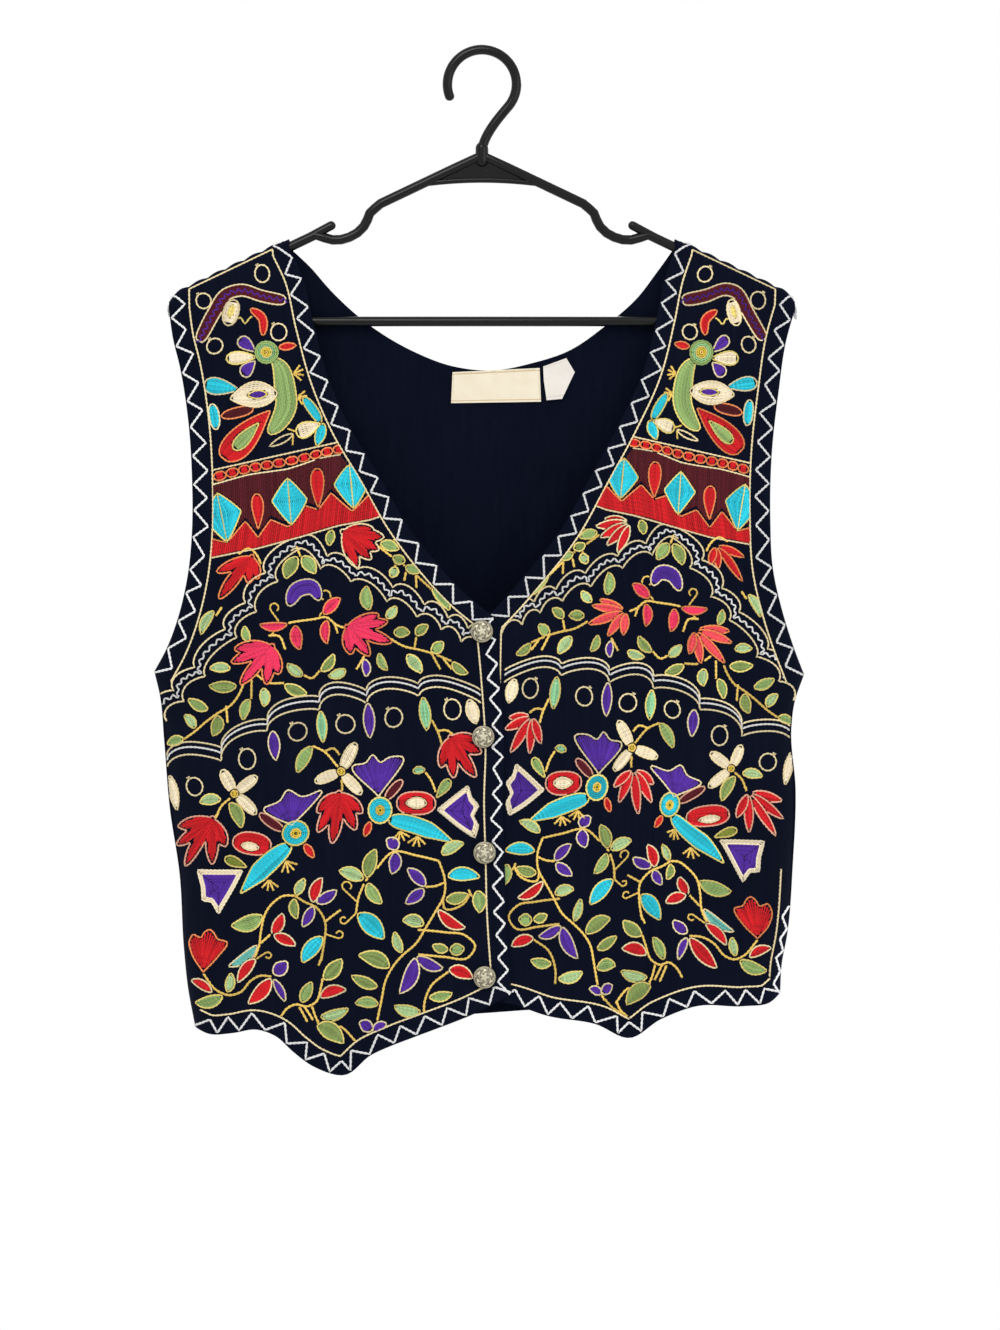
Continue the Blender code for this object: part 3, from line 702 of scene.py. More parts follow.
def sew(name, form, facing, strands):
    """Works rows of stitches into a surface as one joined mesh of raised thread."""
    flats, lifts, stitches, tones, quads, tris, inks = [], [], [], [], [], [], []
    start = 0
    palette = sorted({strand[0] for strand in strands})
    for colour, points, closed, width, height in strands:
        if closed:
            points = np.vstack([points, points[:1]])
        run = lengths(points)[-1]
        count = max(2, round(run / (STITCH / 2)))
        row = read_line(points, np.linspace(0, run, count + 1))
        beat = np.where(np.arange(count + 1) % 2 == 0, PINCH, 1.0)[:, None]
        half = sides_of(row) * -facing * width / 2 * beat
        flats.append(np.stack([row + half, row, row - half], axis=1).reshape(-1, 2))
        crest = height * (0.82 + 0.18 * beat[:, 0])
        sunk = np.full(count + 1, SEWN_IN)
        lifts.append(np.stack([sunk, crest, sunk], axis=1).ravel())
        u = np.arange(count + 1) / 2
        stitches.append(np.stack([np.column_stack([u, np.full_like(u, v)]) for v in (-1, 0, 1)],
                                 axis=1).reshape(-1, 2))
        tones.append(np.full(3 * (count + 1), rng.random()))
        first = start + 3 * np.arange(count)[:, None]
        for corners in ((0, 1, 4, 3), (1, 2, 5, 4), (2, 0, 3, 5)):
            quads.append(first + np.array(corners))
        last = start + 3 * count
        tris.append([(start, start + 2, start + 1), (last, last + 1, last + 2)])
        inks.append((palette.index(colour), 3 * count))
        start += 3 * (count + 1)
    flat = np.vstack(flats)
    places = raised(form, flat[:, 0], flat[:, 1], np.concatenate(lifts), facing)
    quads, tris = np.vstack(quads), np.vstack(tris)
    mesh = bpy.data.meshes.new(name)
    mesh.vertices.add(len(places))
    mesh.vertices.foreach_set("co", (places * MM).ravel())
    corner = np.concatenate([quads.ravel(), tris.ravel()]).astype(np.int32)
    sizes = np.concatenate([np.full(len(quads), 4), np.full(len(tris), 3)])
    mesh.loops.add(len(corner))
    mesh.loops.foreach_set("vertex_index", corner)
    mesh.polygons.add(len(sizes))
    mesh.polygons.foreach_set("loop_start", np.append(0, np.cumsum(sizes)[:-1]).astype(np.int32))
    ink = np.concatenate([np.full(faces, index) for index, faces in inks]
                         + [np.repeat([index for index, _ in inks], 2)])
    mesh.update(calc_edges=True)
    mesh.polygons.foreach_set("material_index", ink.astype(np.int32))
    mesh.polygons.foreach_set("use_smooth", np.ones(len(sizes), bool))
    stitch_map = mesh.uv_layers.new(name="Stitch")
    stitch_map.uv.foreach_set("vector", np.vstack(stitches)[corner].ravel())
    tone = mesh.attributes.new("tone", "FLOAT", "POINT")
    tone.data.foreach_set("value", np.concatenate(tones))
    for colour in palette:
        mesh.materials.append(THREAD_MATERIALS[colour])
    mesh.validate()
    piece = bpy.data.objects.new(name, mesh)
    scene.collection.objects.link(piece)
    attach(piece, "root")
    return piece


def inside(points, loop):
    """Which of the points lie inside a closed outline."""
    x, z = points[:, :1], points[:, 1:]
    before, after = loop, np.roll(loop, -1, axis=0)
    crossing = (before[:, 1] > z) != (after[:, 1] > z)
    rise = np.where(crossing, after[:, 1] - before[:, 1], 1)
    at = before[:, 0] + (z - before[:, 1]) / rise * (after[:, 0] - before[:, 0])
    return np.sum(crossing & (x < at), axis=1) % 2 == 1


def stretches(points, keep):
    """The stretches of a row whose points are to be kept."""
    ends = np.flatnonzero(np.diff(np.concatenate([[0], keep.astype(int), [0]])))
    return [points[first:last] for first, last in zip(ends[::2], ends[1::2]) if last - first > 2]


def cut_rows(rows, loop, stay_inside):
    """Rows that stop at a closed outline and stay inside it, or outside."""
    cut = []
    low, high = loop.min(axis=0), loop.max(axis=0)
    for row in rows:
        colour, points, closed, width, height = row
        if not stay_inside and ((points.max(axis=0) < low).any() or (points.min(axis=0) > high).any()):
            cut.append(row)
            continue
        path = np.vstack([points, points[:1]]) if closed else points
        run = lengths(path)[-1]
        fine = read_line(path, np.linspace(0, run, max(4, int(run / FINE_STEP) + 2)))
        keep = inside(fine, loop) == stay_inside
        if keep.all():
            cut.append(row)
        else:
            cut += [(colour, part, False, width, height) for part in stretches(fine, keep)]
    return cut


def embroider(name, side, strands, drawn_for_right=True):
    """Stitches rows onto a front; those drawn for the right one are fitted to it or to the left one."""
    if drawn_for_right:
        strands = [(colour, hand_drift(on_left(points) if side == "left" else points, side), *rest)
                   for colour, points, *rest in strands]
        strands = cut_rows(strands, fields[side], True)
    form = right_form if side == "right" else left_form
    embroidery[side].append(sew(name, form, -1, strands))


def offset(path, distance, turn):
    """A path moved aside by a distance, to the left of its run where turn is 1."""
    way = np.gradient(path, axis=0)
    way /= np.linalg.norm(way, axis=1, keepdims=True)
    return path + np.column_stack([-way[:, 1], way[:, 0]]) * distance * turn


def zigzag(path, turn, edging):
    """Corners by turns near the edge and well inside it, uneven as hand work is."""
    pitch, inner, _ = edging
    run = lengths(path)
    count = 2 * round(run[-1] / pitch)
    at = np.linspace(0, run[-1], count + 1)
    at[1:-1] += rng.uniform(-WANDER, WANDER, count - 1) * pitch
    inner = inner + rng.uniform(-WANDER_IN, WANDER_IN, count + 1)
    depth = np.where(np.arange(count + 1) % 2 == 0, ZIGZAG_EDGE, inner)
    inwards = offset(path, 1, turn) - path
    ways = np.column_stack([np.interp(at, run, inwards[:, axis]) for axis in (0, 1)])
    return line("white", read_line(path, at) + ways * depth[:, None], width=WHITE_WIDTH,
                height=WHITE_HEIGHT)


def on_panel(points):
    """The stretch of a row that lies on the front and not past its side seam."""
    return points[np.abs(points[:, 0]) < side_reach(points[:, 0], points[:, 1]) - SEAM_CLEAR]


# The pieces sewn on each front, and the field inside its edging where motifs may lie
embroidery = {"right": [], "left": []}
fields = {}
EDGES = {"right": (RIGHT_NECK, RIGHT_CENTRE, RIGHT_HEM, RIGHT_ARMHOLE, RIGHT_SIDE, -1),
         "left": (LEFT_NECK, LEFT_CENTRE, LEFT_HEM, LEFT_ARMHOLE, LEFT_SIDE, 1)}
# How far the shoulder seam lies above the shoulder line on the flat pattern
OVER = SEAM_TURN * SHOULDER_R * ARM_STRETCH
for side, (neck, centre, hem, armhole, seam, turn) in EDGES.items():
    neck_path, arm_path = smooth(neck, 240), smooth(armhole, 240)
    centre_path, hem_path = smooth(centre, 200), smooth(hem[::-1], 240)
    shoulder_x = np.linspace(neck[0][0], armhole[0][0], 40)
    shoulder = np.column_stack([shoulder_x, shoulder_line(shoulder_x) + OVER])
    whites = [zigzag(np.vstack([neck_path[0] + (0, OVER), neck_path]), turn, NECK_EDGING),
              zigzag(centre_path, turn, CENTRE_EDGING), zigzag(hem_path, turn, HEM_EDGING),
              zigzag(np.vstack([arm_path[0] + (0, OVER), arm_path]), -turn, ARMHOLE_EDGING),
              zigzag(shoulder, turn, SHOULDER_EDGING)]
    embroider(f"white_zigzag_{side}", side, whites, drawn_for_right=False)
    neck_line = offset(neck_path, NECK_EDGING[2], turn)
    centre_inset = CENTRE_EDGING[2] if side == "right" else LEFT_CENTRE_INSET
    centre_line = offset(centre_path, centre_inset, turn)
    hem_line = offset(hem_path, HEM_EDGING[2], turn)
    arm_line = on_panel(offset(arm_path, ARMHOLE_EDGING[2], -turn))
    neck_line[0, 1] = shoulder_line(neck_line[0, 0]) + OVER - SHOULDER_EDGING[2]
    arm_line[0, 1] = shoulder_line(arm_line[0, 0]) + OVER - SHOULDER_EDGING[2]
    centre_x = np.interp(neck_line[:, 1], centre_line[::-1, 1], centre_line[::-1, 0])
    neck_line = neck_line[(neck_line[:, 0] - centre_x) * turn > 0]
    below_neck = centre_line[:, 1] < neck_line[-1, 1]
    above_hem = centre_line[:, 1] > hem_line[0, 1] + HEM_CLEAR
    hem_line = hem_line[np.abs(hem_line[:, 0] - hem_path[0, 0]) > centre_inset]
    seam_line = smooth(seam[::-1], 80) - (SEAM_CLEAR * turn, 0)
    seam_line = seam_line[(seam_line[:, 1] > hem_line[-1, 1]) & (seam_line[:, 1] < arm_line[-1, 1])]
    centre_line = centre_line[below_neck & above_hem]
    fields[side] = np.vstack([neck_line, centre_line, hem_line, seam_line, arm_line[::-1]])
    if side == "left":
        vent = smooth(seam[::-1], 200)
        vent = vent[vent[:, 1] < VENT_TOP]
        low_vent = vent[vent[:, 1] < VENT_TOP - VENT_DROP]
        embroider("white_vent_zigzag", side, [zigzag(low_vent, turn, VENT_EDGING)], drawn_for_right=False)
        vent_line = offset(vent, VENT_EDGING[2], turn)
        vent_line = vent_line[vent_line[:, 1] > hem_line[-1, 1]]
        embroider("cream_vent_border", side, [line("cream", vent_line)], drawn_for_right=False)
    creams = [line("cream", np.vstack([neck_line, centre_line])),
              line("cream", on_panel(hem_line)), line("cream", arm_line),
              line("cream", [neck_line[0], arm_line[0]])]
    embroider(f"cream_border_{side}", side, creams, drawn_for_right=False)

# Shoulder panels: a cream frame with rings, a chevron band over a leaf, and a green bird with a
# crest, a white wing and a drop-shaped tail. Filled shapes are rows of chain stitch in a rim.
CHEVRON_BAND = [(-201, -204), (-190, -184), (-180, -170), (-172, -168), (-156, -172), (-138, -175)]
GREEN_BODY = [(-147, -216), (-142, -223), (-139, -237), (-139, -251), (-144, -262), (-151, -270)]
# Half width of a filled shape along its spine, as a share of its greatest
SHAPES = {"leaf": lambda t: np.sin(np.pi * t**0.88) ** 0.72,
          "drop": lambda t: 2 * t * np.sqrt(np.clip(1 - t * t, 0, 1)),
          "bean": lambda t: np.clip(1 - np.abs(2 * t - 1) ** 2.6, 0, 1) ** 0.5,
          "body": lambda t: np.clip(1.9 * t**0.75, 0, 1) * np.sqrt(1 - t**8),
          "band": lambda t: np.clip(1 - np.abs(2 * t - 1) ** 14, 0, 1) ** 0.5,
          "kite": lambda t: np.minimum(t / 0.45, (1 - t) / 0.55) ** 0.78}
SPINE_POINTS = 60
BAND_WIDTH = 10.5
BAND_STEPS = 36
BAND_ZIGZAG = 1.7
BAND_ZIGZAG_HEIGHT = 1.4
PANEL_RINGS = [(-155, -156), (-197, -175), (-189, -207), (-144, -197)]
PANEL_RING_R = 5.4
# Where a ring starts, its height against its width, and its tail's two ends
RING_START = 2.2
RING_HEIGHT = 1.08
RING_TAIL = [(-1.8, 1.0), (-0.4, 1.8)]
# How a bird's toes spread from its leg, in degrees
TOES = (-48, -16, 16, 48)
# How far the outer filling rows run under the rim
TUCK = 0.85


def spine_line(points, bend=0.0):
    """Even places along a shape's spine; two ends and a bend make a bow."""
    points = np.array(points, float)
    if len(points) > 2:
        return smooth(points, SPINE_POINTS)
    t = np.linspace(0, 1, SPINE_POINTS)[:, None]
    way = points[1] - points[0]
    return points[0] + way * t + np.array([-way[1], way[0]]) * bend * np.sin(np.pi * t)


def patch(spine, width, rim, fill, shape="leaf", bend=0.0):
    """A filled shape along a spine, as its rows and its outline: a rim, and rows that follow the spine."""
    spine = spine_line(spine, bend)
    half = width / 2 * SHAPES[shape](np.linspace(0, 1, len(spine)))
    aside = sides_of(spine)
    outline = np.vstack([spine + aside * half[:, None], (spine - aside * half[:, None])[::-1]])
    rows = []
    edge = half - LINE / 2
    within = edge > 0.1
    if rim:
        rows.append(line(rim, np.vstack([(spine + aside * edge[:, None])[within],
                                         (spine - aside * edge[:, None])[within][::-1]]), closed=True))
    if fill:
        margin = LINE * bool(rim) + FILL / 2 - TUCK
        room = max(0, half.max() - margin)
        run = lengths(spine)
        clear = np.minimum(run, run[-1] - run) > margin
        count = 2 * math.ceil(room / PITCH) + 1 if room > 0.3 else 1
        for share in np.linspace(-1, 1, count) * (count > 1):
            keep = clear & (half - margin > 0.2)
            rows += [line(fill, part, width=FILL, height=FILL_HEIGHT)
                     for part in stretches(spine + aside * (half - margin)[:, None] * share, keep)]
    return rows, outline


def disc(centre, radius, colours):
    """Rings of thread from the outside in, as their rows and the outline."""
    turn = np.linspace(0, 2 * np.pi, 28, endpoint=False)
    circle = np.column_stack([np.cos(turn), np.sin(turn)])
    rows = [line(colour, centre + circle * (radius - LINE / 2 - place * PITCH), closed=True, width=FILL)
            for place, colour in enumerate(colours) if radius - LINE / 2 - place * PITCH > 0.3]
    return rows, np.array(centre) + circle * radius


def lay(rows, *motifs):
    """Adds motifs one over the other, each a pair of rows and an outline at which earlier rows stop."""
    for more, outline in motifs:
        taken.append(outline)
        rows = cut_rows(rows, outline, False) + more
    return rows


def ring(x, z, radius=PANEL_RING_R):
    """An open ring with a small tail where the thread was tied off."""
    turn = np.linspace(RING_START, RING_START + 2 * np.pi, 30)
    loop = np.array([x, z]) + radius * np.column_stack([np.cos(turn), RING_HEIGHT * np.sin(turn)])
    ends = loop[0] + np.array(RING_TAIL) * radius / PANEL_RING_R
    return [line("cream", loop), line("cream", np.vstack([ends[0], loop[0], ends[1]]))]


def heading_way(heading):
    """The direction of a heading in degrees, from +X towards +Z."""
    angle = math.radians(heading)
    return np.array([math.cos(angle), math.sin(angle)])


def foot(x, z, heading, reach=8.0):
    """Toes that spread from a bird's leg."""
    return [line("gold", [(x, z), (x, z) + reach * heading_way(heading + spread)], width=FILL)
            for spread in TOES]


# Outlines of the shapes laid so far, which the vines keep out of
taken = []
panel = patch(CHEVRON_BAND, BAND_WIDTH, "cream", "maroon", "band")[0]
band = smooth(CHEVRON_BAND, BAND_STEPS)
swing = np.where(np.arange(BAND_STEPS) % 2 == 0, 1, -1)[:, None]
panel.append(line("purple", band + sides_of(band) * BAND_ZIGZAG * swing,
                  height=BAND_ZIGZAG_HEIGHT))
for x, z in PANEL_RINGS:
    panel += ring(x, z)
panel.append(curve("straw", [(-177, -191), (-172, -188), (-169, -192), (-165, -188), (-160, -186)]))
panel += foot(-133, -227, 6, reach=7) + foot(-131, -243, -12, reach=7)
panel = lay(panel,
            patch([(-176, -175), (-181, -193)], 12, "cream", "ivory", "bean"),
            patch([(-177, -179), (-180, -188)], 4, None, "straw", "leaf"),
            patch([(-165, -182), (-156, -188), (-155, -200)], 7.5, "orange", "red", "bean"),
            patch([(-159, -213), (-173, -202)], 10.5, "cream", "purple", "drop"),
            patch([(-159, -218), (-170, -229)], 10.5, "cream", "purple", "drop"),
            patch([(-157, -216), (-181, -217)], 11, "straw", "ivory", "drop"),
            patch([(-144, -208), (-131, -206)], 7, "orange", "red", "leaf"),
            patch([(-162, -253), (-185, -258)], 9, "orange", "maroon", "bean"),
            patch([(-170, -239), (-196, -234)], 13, "cream", "turquoise", "drop"),
            patch([(-191, -248), (-188, -267)], 8.5, "cream", "turquoise", "bean"),
            patch([(-148, -252), (-183, -288)], 22, "orange", "red", "drop"),
            patch([(-156, -261), (-176, -281)], 11, "straw", "green", "drop"),
            patch(GREEN_BODY, 15.5, "straw", "green", "bean"),
            disc((-152, -212), 9, ("green", "green", "mint", "straw", "yellow", "gold")),
            patch([(-144, -240), (-179, -245)], 20, "cream", "ivory", "leaf"),
            patch([(-151, -241), (-167, -243)], 7.5, "straw", "purple", "leaf"),
            patch([(-127, -243), (-114, -263)], 8.5, "straw", "turquoise", "bean"),
            patch([(-112, -263), (-117, -279)], 9.5, "straw", "turquoise", "leaf"),
            patch([(-113, -263), (-132, -269)], 12, "straw", "ivory", "drop"),
            patch([(-133, -269), (-151, -279)], 6, "cream", None, "leaf"))
panel.append(curve("gold", [(-132, -268), (-138, -266)]))
panel.append(curve("gold", [(-134, -270), (-134, -277)]))
for side in embroidery:
    embroider(f"green_bird_panel_{side}", side, panel)

# Bands under the panels: a chain of red links, then a maroon field with blue kites and red drops
# over a red field with a pointed upper edge, all filled solid with rows of chain stitch.
LINKS_FROM = (-189, -301)
LINKS_TO = (-96, -280)
LINK_COUNT = 11
LINK_WIDTH = 7.6
LINK_LINE = 5.2
MAROON_FIELD = [(-191, -306), (-165, -300), (-137, -295), (-115, -288), (-99, -285), (-88, -299),
                (-81, -310), (-92, -322), (-106, -310), (-116, -322), (-127, -318), (-137, -334),
                (-149, -329), (-158, -342), (-168, -331), (-180, -345), (-191, -342)]
RED_FIELD = [(-191, -344), (-180, -347), (-168, -333), (-158, -344), (-149, -331), (-137, -336),
             (-127, -320), (-116, -324), (-106, -312), (-92, -325), (-80, -312), (-71, -328),
             (-80, -331), (-101, -336), (-129, -343), (-158, -351), (-191, -357)]
KITES = [((-187, -311), (-180, -347), 28), ((-137, -301), (-135, -335), 26),
         ((-93, -292), (-91, -323), 25)]
RED_DROPS = [((-158, -341), (-159, -312), 10.5), ((-116, -325), (-116, -295), 11.5)]
KITE_SPINE_HEIGHT = 1.3
# A straight row's ends stop this far inside its outline, and no row is shorter than this
ROW_TRIM = 0.8
SHORTEST_ROW = 1.5


def cuts(loop, at):
    """Where a level line crosses a closed outline, from left to right."""
    before, after = loop, np.roll(loop, -1, axis=0)
    crossing = (before[:, 1] > at) != (after[:, 1] > at)
    before, after = before[crossing], after[crossing]
    share = (at - before[:, 1]) / (after[:, 1] - before[:, 1])
    return sorted((before[:, 0] + share * (after[:, 0] - before[:, 0])).tolist())


def hatch(colour, outline, heading):
    """Straight rows that fill an outline, at a heading in degrees."""
    angle = math.radians(heading)
    turn = np.array([(math.cos(angle), -math.sin(angle)), (math.sin(angle), math.cos(angle))])
    edge = np.array(outline, float) @ turn
    rows = []
    for at in np.arange(edge[:, 1].min() + PITCH / 2, edge[:, 1].max(), PITCH):
        for start, end in zip(*[iter(cuts(edge, at))] * 2):
            if end - start > 2 * ROW_TRIM + SHORTEST_ROW:
                ends = np.array([(start + ROW_TRIM, at), (end - ROW_TRIM, at)]) @ turn.T
                rows.append(line(colour, ends, width=FILL, height=FILL_HEIGHT))
    return rows


start, end = np.array(LINKS_FROM, float), np.array(LINKS_TO, float)
way = (end - start) / np.linalg.norm(end - start)
aside = np.array([-way[1], way[0]])
bands = hatch("maroon", MAROON_FIELD, 90) + hatch("red", RED_FIELD, 84)
bands.append(line("cream", RED_FIELD[11:]))
bands.append(line("cream", MAROON_FIELD[:5]))
bands.append(line("orange", RED_FIELD[:12]))
bands.append(line("cream", [start + aside * LINK_LINE, end + aside * LINK_LINE]))
for k in range(LINK_COUNT):
    link = [start + (end - start) * (k + share) / LINK_COUNT for share in (0.0, 1.0)]
    bands = lay(bands, patch(link, LINK_WIDTH, "orange", "red", "bean"))
for top, low, width in KITES:
    bands = lay(bands, patch((top, low), width, "straw", "turquoise", "kite"))
    bands.append(line("straw", [top, low], height=KITE_SPINE_HEIGHT))
for low, high, width in RED_DROPS:
    bands = lay(bands, patch((low, high), width, "orange", "red", "drop"))
for side in embroidery:
    embroider(f"maroon_and_red_bands_{side}", side, bands)

# Chevron and scallops: a peaked triple border under the bands and a row of triple arcs across the
# chest, each cream, white and cream, with rings between the hanging petals of its cusps.
CHEVRON = [[(-228, -470), (-215, -456), (-198, -438), (-177, -412), (-163, -393), (-147, -372), (-132, -348)],
           [(-132, -348), (-111, -362), (-90, -371), (-65, -384), (-44, -396), (-27, -405),
            (-12, -413), (3, -419)]]
SCALLOP_CUSPS = [(-224, -502), (-183, -496), (-151, -475), (-115, -460), (-82, -455), (-45, -451), (-1, -455)]
CHEVRON_RISE = 6
CHEVRON_SIDES = (5.4, -4.8)
WHITE_ROW = 1.9
WAVE = 1.2
ARC_RISE = 8
# columns: depth under the cusps, colour
ARCS = [(-3.6, "cream"), (0, "white"), (5.0, "cream")]
BORDER_RING_R = 6.3
HANGING = [((-222, -511), (-217, -538), 9, "ivory"), ((-147, -479), (-144, -501), 9.5, "purple"),
           ((-114, -465), (-111, -490), 9, "mint"), ((-81, -459), (-79, -486), 9.5, "purple"),
           ((-42, -456), (-39, -481), 9, "mint"), ((-9, -457), (-4, -475), 10, "ivory")]
RINGS = [(-203, -519), (-165, -500), (-130, -480), (-96, -475), (-62, -470), (-21, -464)]


def arched(points, rise, depth):
    """A row of arcs, steep at their outer ends, over the chords between their cusps."""
    arcs = []
    for (x0, z0), (x1, z1) in zip(points, points[1:]):
        t = np.linspace(0, 1, 24)
        run = math.hypot(x1 - x0, z1 - z0)
        bulge = rise * np.sin(np.pi * t**0.72) ** 0.75
        arcs.append(np.column_stack([x0 + (x1 - x0) * t - (z1 - z0) / run * bulge,
                                     z0 + (z1 - z0) * t + (x1 - x0) / run * bulge - depth]))
    return np.vstack(arcs)


borders = []
for leg in CHEVRON:
    leg = np.array(leg, float)
    path = arched(leg, CHEVRON_RISE, 0)
    path = read_line(path, np.linspace(0, lengths(path)[-1], 300))
    wave = WAVE * np.sin(np.linspace(0, lengths(path)[-1] * 1.05, 300))[:, None]
    borders.append(line("white", path + sides_of(path) * wave, width=WHITE_ROW))
    borders += [line("cream", arched(leg + sides_of(leg) * shift, CHEVRON_RISE, 0))
                for shift in CHEVRON_SIDES]
for depth, colour in ARCS:
    width = WHITE_ROW if colour == "white" else LINE
    borders.append(line(colour, arched(SCALLOP_CUSPS, ARC_RISE, depth), width=width))
borders = cut_rows(borders, np.array(RED_FIELD, float), False)
for x, z in RINGS:
    borders += ring(x, z, BORDER_RING_R)
for top, low, width, fill in HANGING:
    rim = "straw" if fill == "mint" else "cream"
    borders = lay(borders, patch((top, low), width, rim, fill))
for side in embroidery:
    embroider(f"scalloped_borders_{side}", side, borders)

# Flowers: pink and red ones whose petals share a rim on the right front and have one each on the
# left, white ones with three petals, and purple and red tulips filled with rows that fan out.
# columns: x, z, rim, fill, lobe width, lobes as (heading in degrees, length)
FLOWERS = [(-147, -420, "orange", "pink", 8.8, [(185, 28), (201, 32), (230, 37), (261, 28), (283, 20)]),
           (-95, -407, "orange", "pink", 8.8, [(25, 24), (9, 29), (-18, 34), (-50, 25), (-80, 19)]),
           (-162, -357, "orange", "red", 8.5, [(204, 27), (231, 38), (262, 20), (284, 17)]),
           (-98, -340, "cream", "red", 9, [(7, 21), (-6, 29), (-24, 28), (-42, 27), (-66, 27)]),
           (-190, -541, "peach", "red", 9, [(194, 27), (218, 34), (240, 40), (271, 33), (295, 23)]),
           (-100, -524, "peach", "red", 9, [(219, 21), (240, 31), (263, 36), (294, 27), (320, 20)]),
           (-22, -484, "peach", "red", 9, [(-6, 19), (-27, 25), (-56, 33), (-84, 28), (-108, 22)])]
WHITE_FLOWERS = [(-175, -525, (113, 20), (38, 22), (-40, 21)),
                 (-98, -508, (64, 22), (202, 21), (-52, 21))]
# columns: x and z of the stalk's end, heading, rays from right to left as (angle, length), rim, fill
TULIPS = [(-134, -545, 90, [(-43, 31), (-18, 20), (6, 24), (27, 18), (62, 22)], "cream", "purple"),
          (-73, -526, 90, [(-32, 33), (-17, 29), (-5, 25), (7, 30), (19, 26), (36, 28)], "cream", "purple"),
          (-196, -650, 90, [(-45, 14), (-37, 27), (-22, 26), (-15, 29), (-8, 31), (0, 28), (4, 25), (10, 26),
                            (16, 28), (25, 25), (35, 15)], "orange", "red")]
STALK_END = 1.7
RIM_HEIGHT = 1.05
# How far a petal's rows run under its rim, and how near its stalk's end they start
PETAL_TUCK = 0.6
PETAL_ROOT = 0.6
# Where a tulip's rows start, as shares of its mean reach
TULIP_STARTS = (0.12, 0.42, 0.24, 0.42)


def flower(x, z, rim, fill, width, lobes):
    """Petals that spread from a stalk's end with one rim round them all, as rows and the outline."""
    turn = np.linspace(0, 2 * np.pi, 180, endpoint=False)
    reach = np.full_like(turn, STALK_END)
    t = np.linspace(1, 0.1, 60)
    half = width / 2 * np.sin(np.pi * t**1.15) ** 0.6
    rows = []
    for heading, length in lobes:
        angle = math.radians(heading)
        off = np.abs((turn - angle + np.pi) % (2 * np.pi) - np.pi)
        edge_turn, edge_reach = np.arctan2(half, t * length), np.hypot(half, t * length)
        reach = np.maximum(reach, np.interp(off, edge_turn, edge_reach, right=0))
        way = heading_way(heading)
        margin = LINE / 2 + FILL / 2 - PETAL_TUCK
        room = half.max() - margin
        for shift in np.linspace(-room, room, 2 * math.ceil(room / PITCH) + 1):
            far = length * t[half - margin >= abs(shift) - 1e-6].max()
            near = PETAL_ROOT + STALK_END * abs(shift)
            if far - LINE / 2 > near + SHORTEST_ROW:
                root = (x, z) + np.array([-way[1], way[0]]) * shift
                rows.append(line(fill, [root + way * near, root + way * (far - LINE / 2)],
                                 width=FILL, height=FILL_HEIGHT))
    outline = np.column_stack([x + reach * np.cos(turn), z + reach * np.sin(turn)])
    return rows + [line(rim, outline, closed=True, height=RIM_HEIGHT)], outline


def fan(x, z, heading, rays, rim, fill):
    """A tulip: a rim from the stalk round its points, filled by rows that spread."""
    base = np.array([x, z], float)
    angles = np.radians([heading + ray[0] for ray in rays])
    reach = np.array([ray[1] for ray in rays], float)
    tips = base + np.column_stack([np.cos(angles), np.sin(angles)]) * reach[:, None]
    outline = smooth(np.vstack([base, tips, base]), 90)
    middle = outline.mean(axis=0)
    inner = middle + (outline - middle) * (1 - 1.1 / np.linalg.norm(outline - middle, axis=1).mean())
    rows = []
    for k, angle in enumerate(np.arange(angles[0] - 0.1, angles[-1] + 0.1, PITCH / (0.8 * reach.mean()))):
        near = reach.mean() * TULIP_STARTS[k % 4]
        way = np.array([math.cos(angle), math.sin(angle)])
        rows.append(line(fill, [base + way * near, base + way * reach.max() * 1.15],
                         width=FILL, height=FILL_HEIGHT))
    return cut_rows(rows, inner, True) + [line(rim, outline, height=RIM_HEIGHT)], outline


blooms = []
for x, z, *petals in WHITE_FLOWERS:
    for heading, length in petals:
        way = heading_way(heading)
        blooms = lay(blooms, patch([(x, z) + way * 1.5, (x, z) + way * length], 9, "cream", "ivory", "bean"))
    blooms = lay(blooms, disc((x, z), 3.2, ("gold", "yellow")))
for row in TULIPS:
    blooms = lay(blooms, fan(*row))
embroider("flowers_right", "right", lay(blooms, *[flower(*row) for row in FLOWERS]))
for x, z, rim, fill, width, petals in FLOWERS:
    shade = "coral" if fill == "pink" else fill
    for heading, length in petals:
        way = heading_way(heading)
        blooms = lay(blooms, patch([(x, z) + way * 2, (x, z) + way * length], width - 1, rim, shade))
embroider("flowers_left", "left", blooms)

# Blue birds: two face each other over the vines, with turquoise bodies, red wings with a white
# heart, a maroon crest, gold feet and a purple fan of a tail in a broad cream rim.
TAIL_RIM_ROWS = 3
# columns: x, z, heading
BLUE_FEET = [(-137, -571, -64), (-149, -584, -84), (-57, -550, -80), (-45, -554, -95)]


def tail(corners):
    """A broad rim of three cream rows round a purple heart, as rows and the outline."""
    outline = np.array([*corners, corners[0]], float)
    fine = read_line(outline, np.linspace(0, lengths(outline)[-1], 80))[:-1]
    middle = fine.mean(axis=0)
    size = np.linalg.norm(fine - middle, axis=1).mean()
    rows = []
    for k in range(int(size / PITCH)):
        share = 1 - (0.5 + k) * PITCH / size
        colour = "ivory" if k < TAIL_RIM_ROWS else "purple"
        rows.append(line(colour, middle + (fine - middle) * share, closed=True, width=FILL))
    return rows, outline


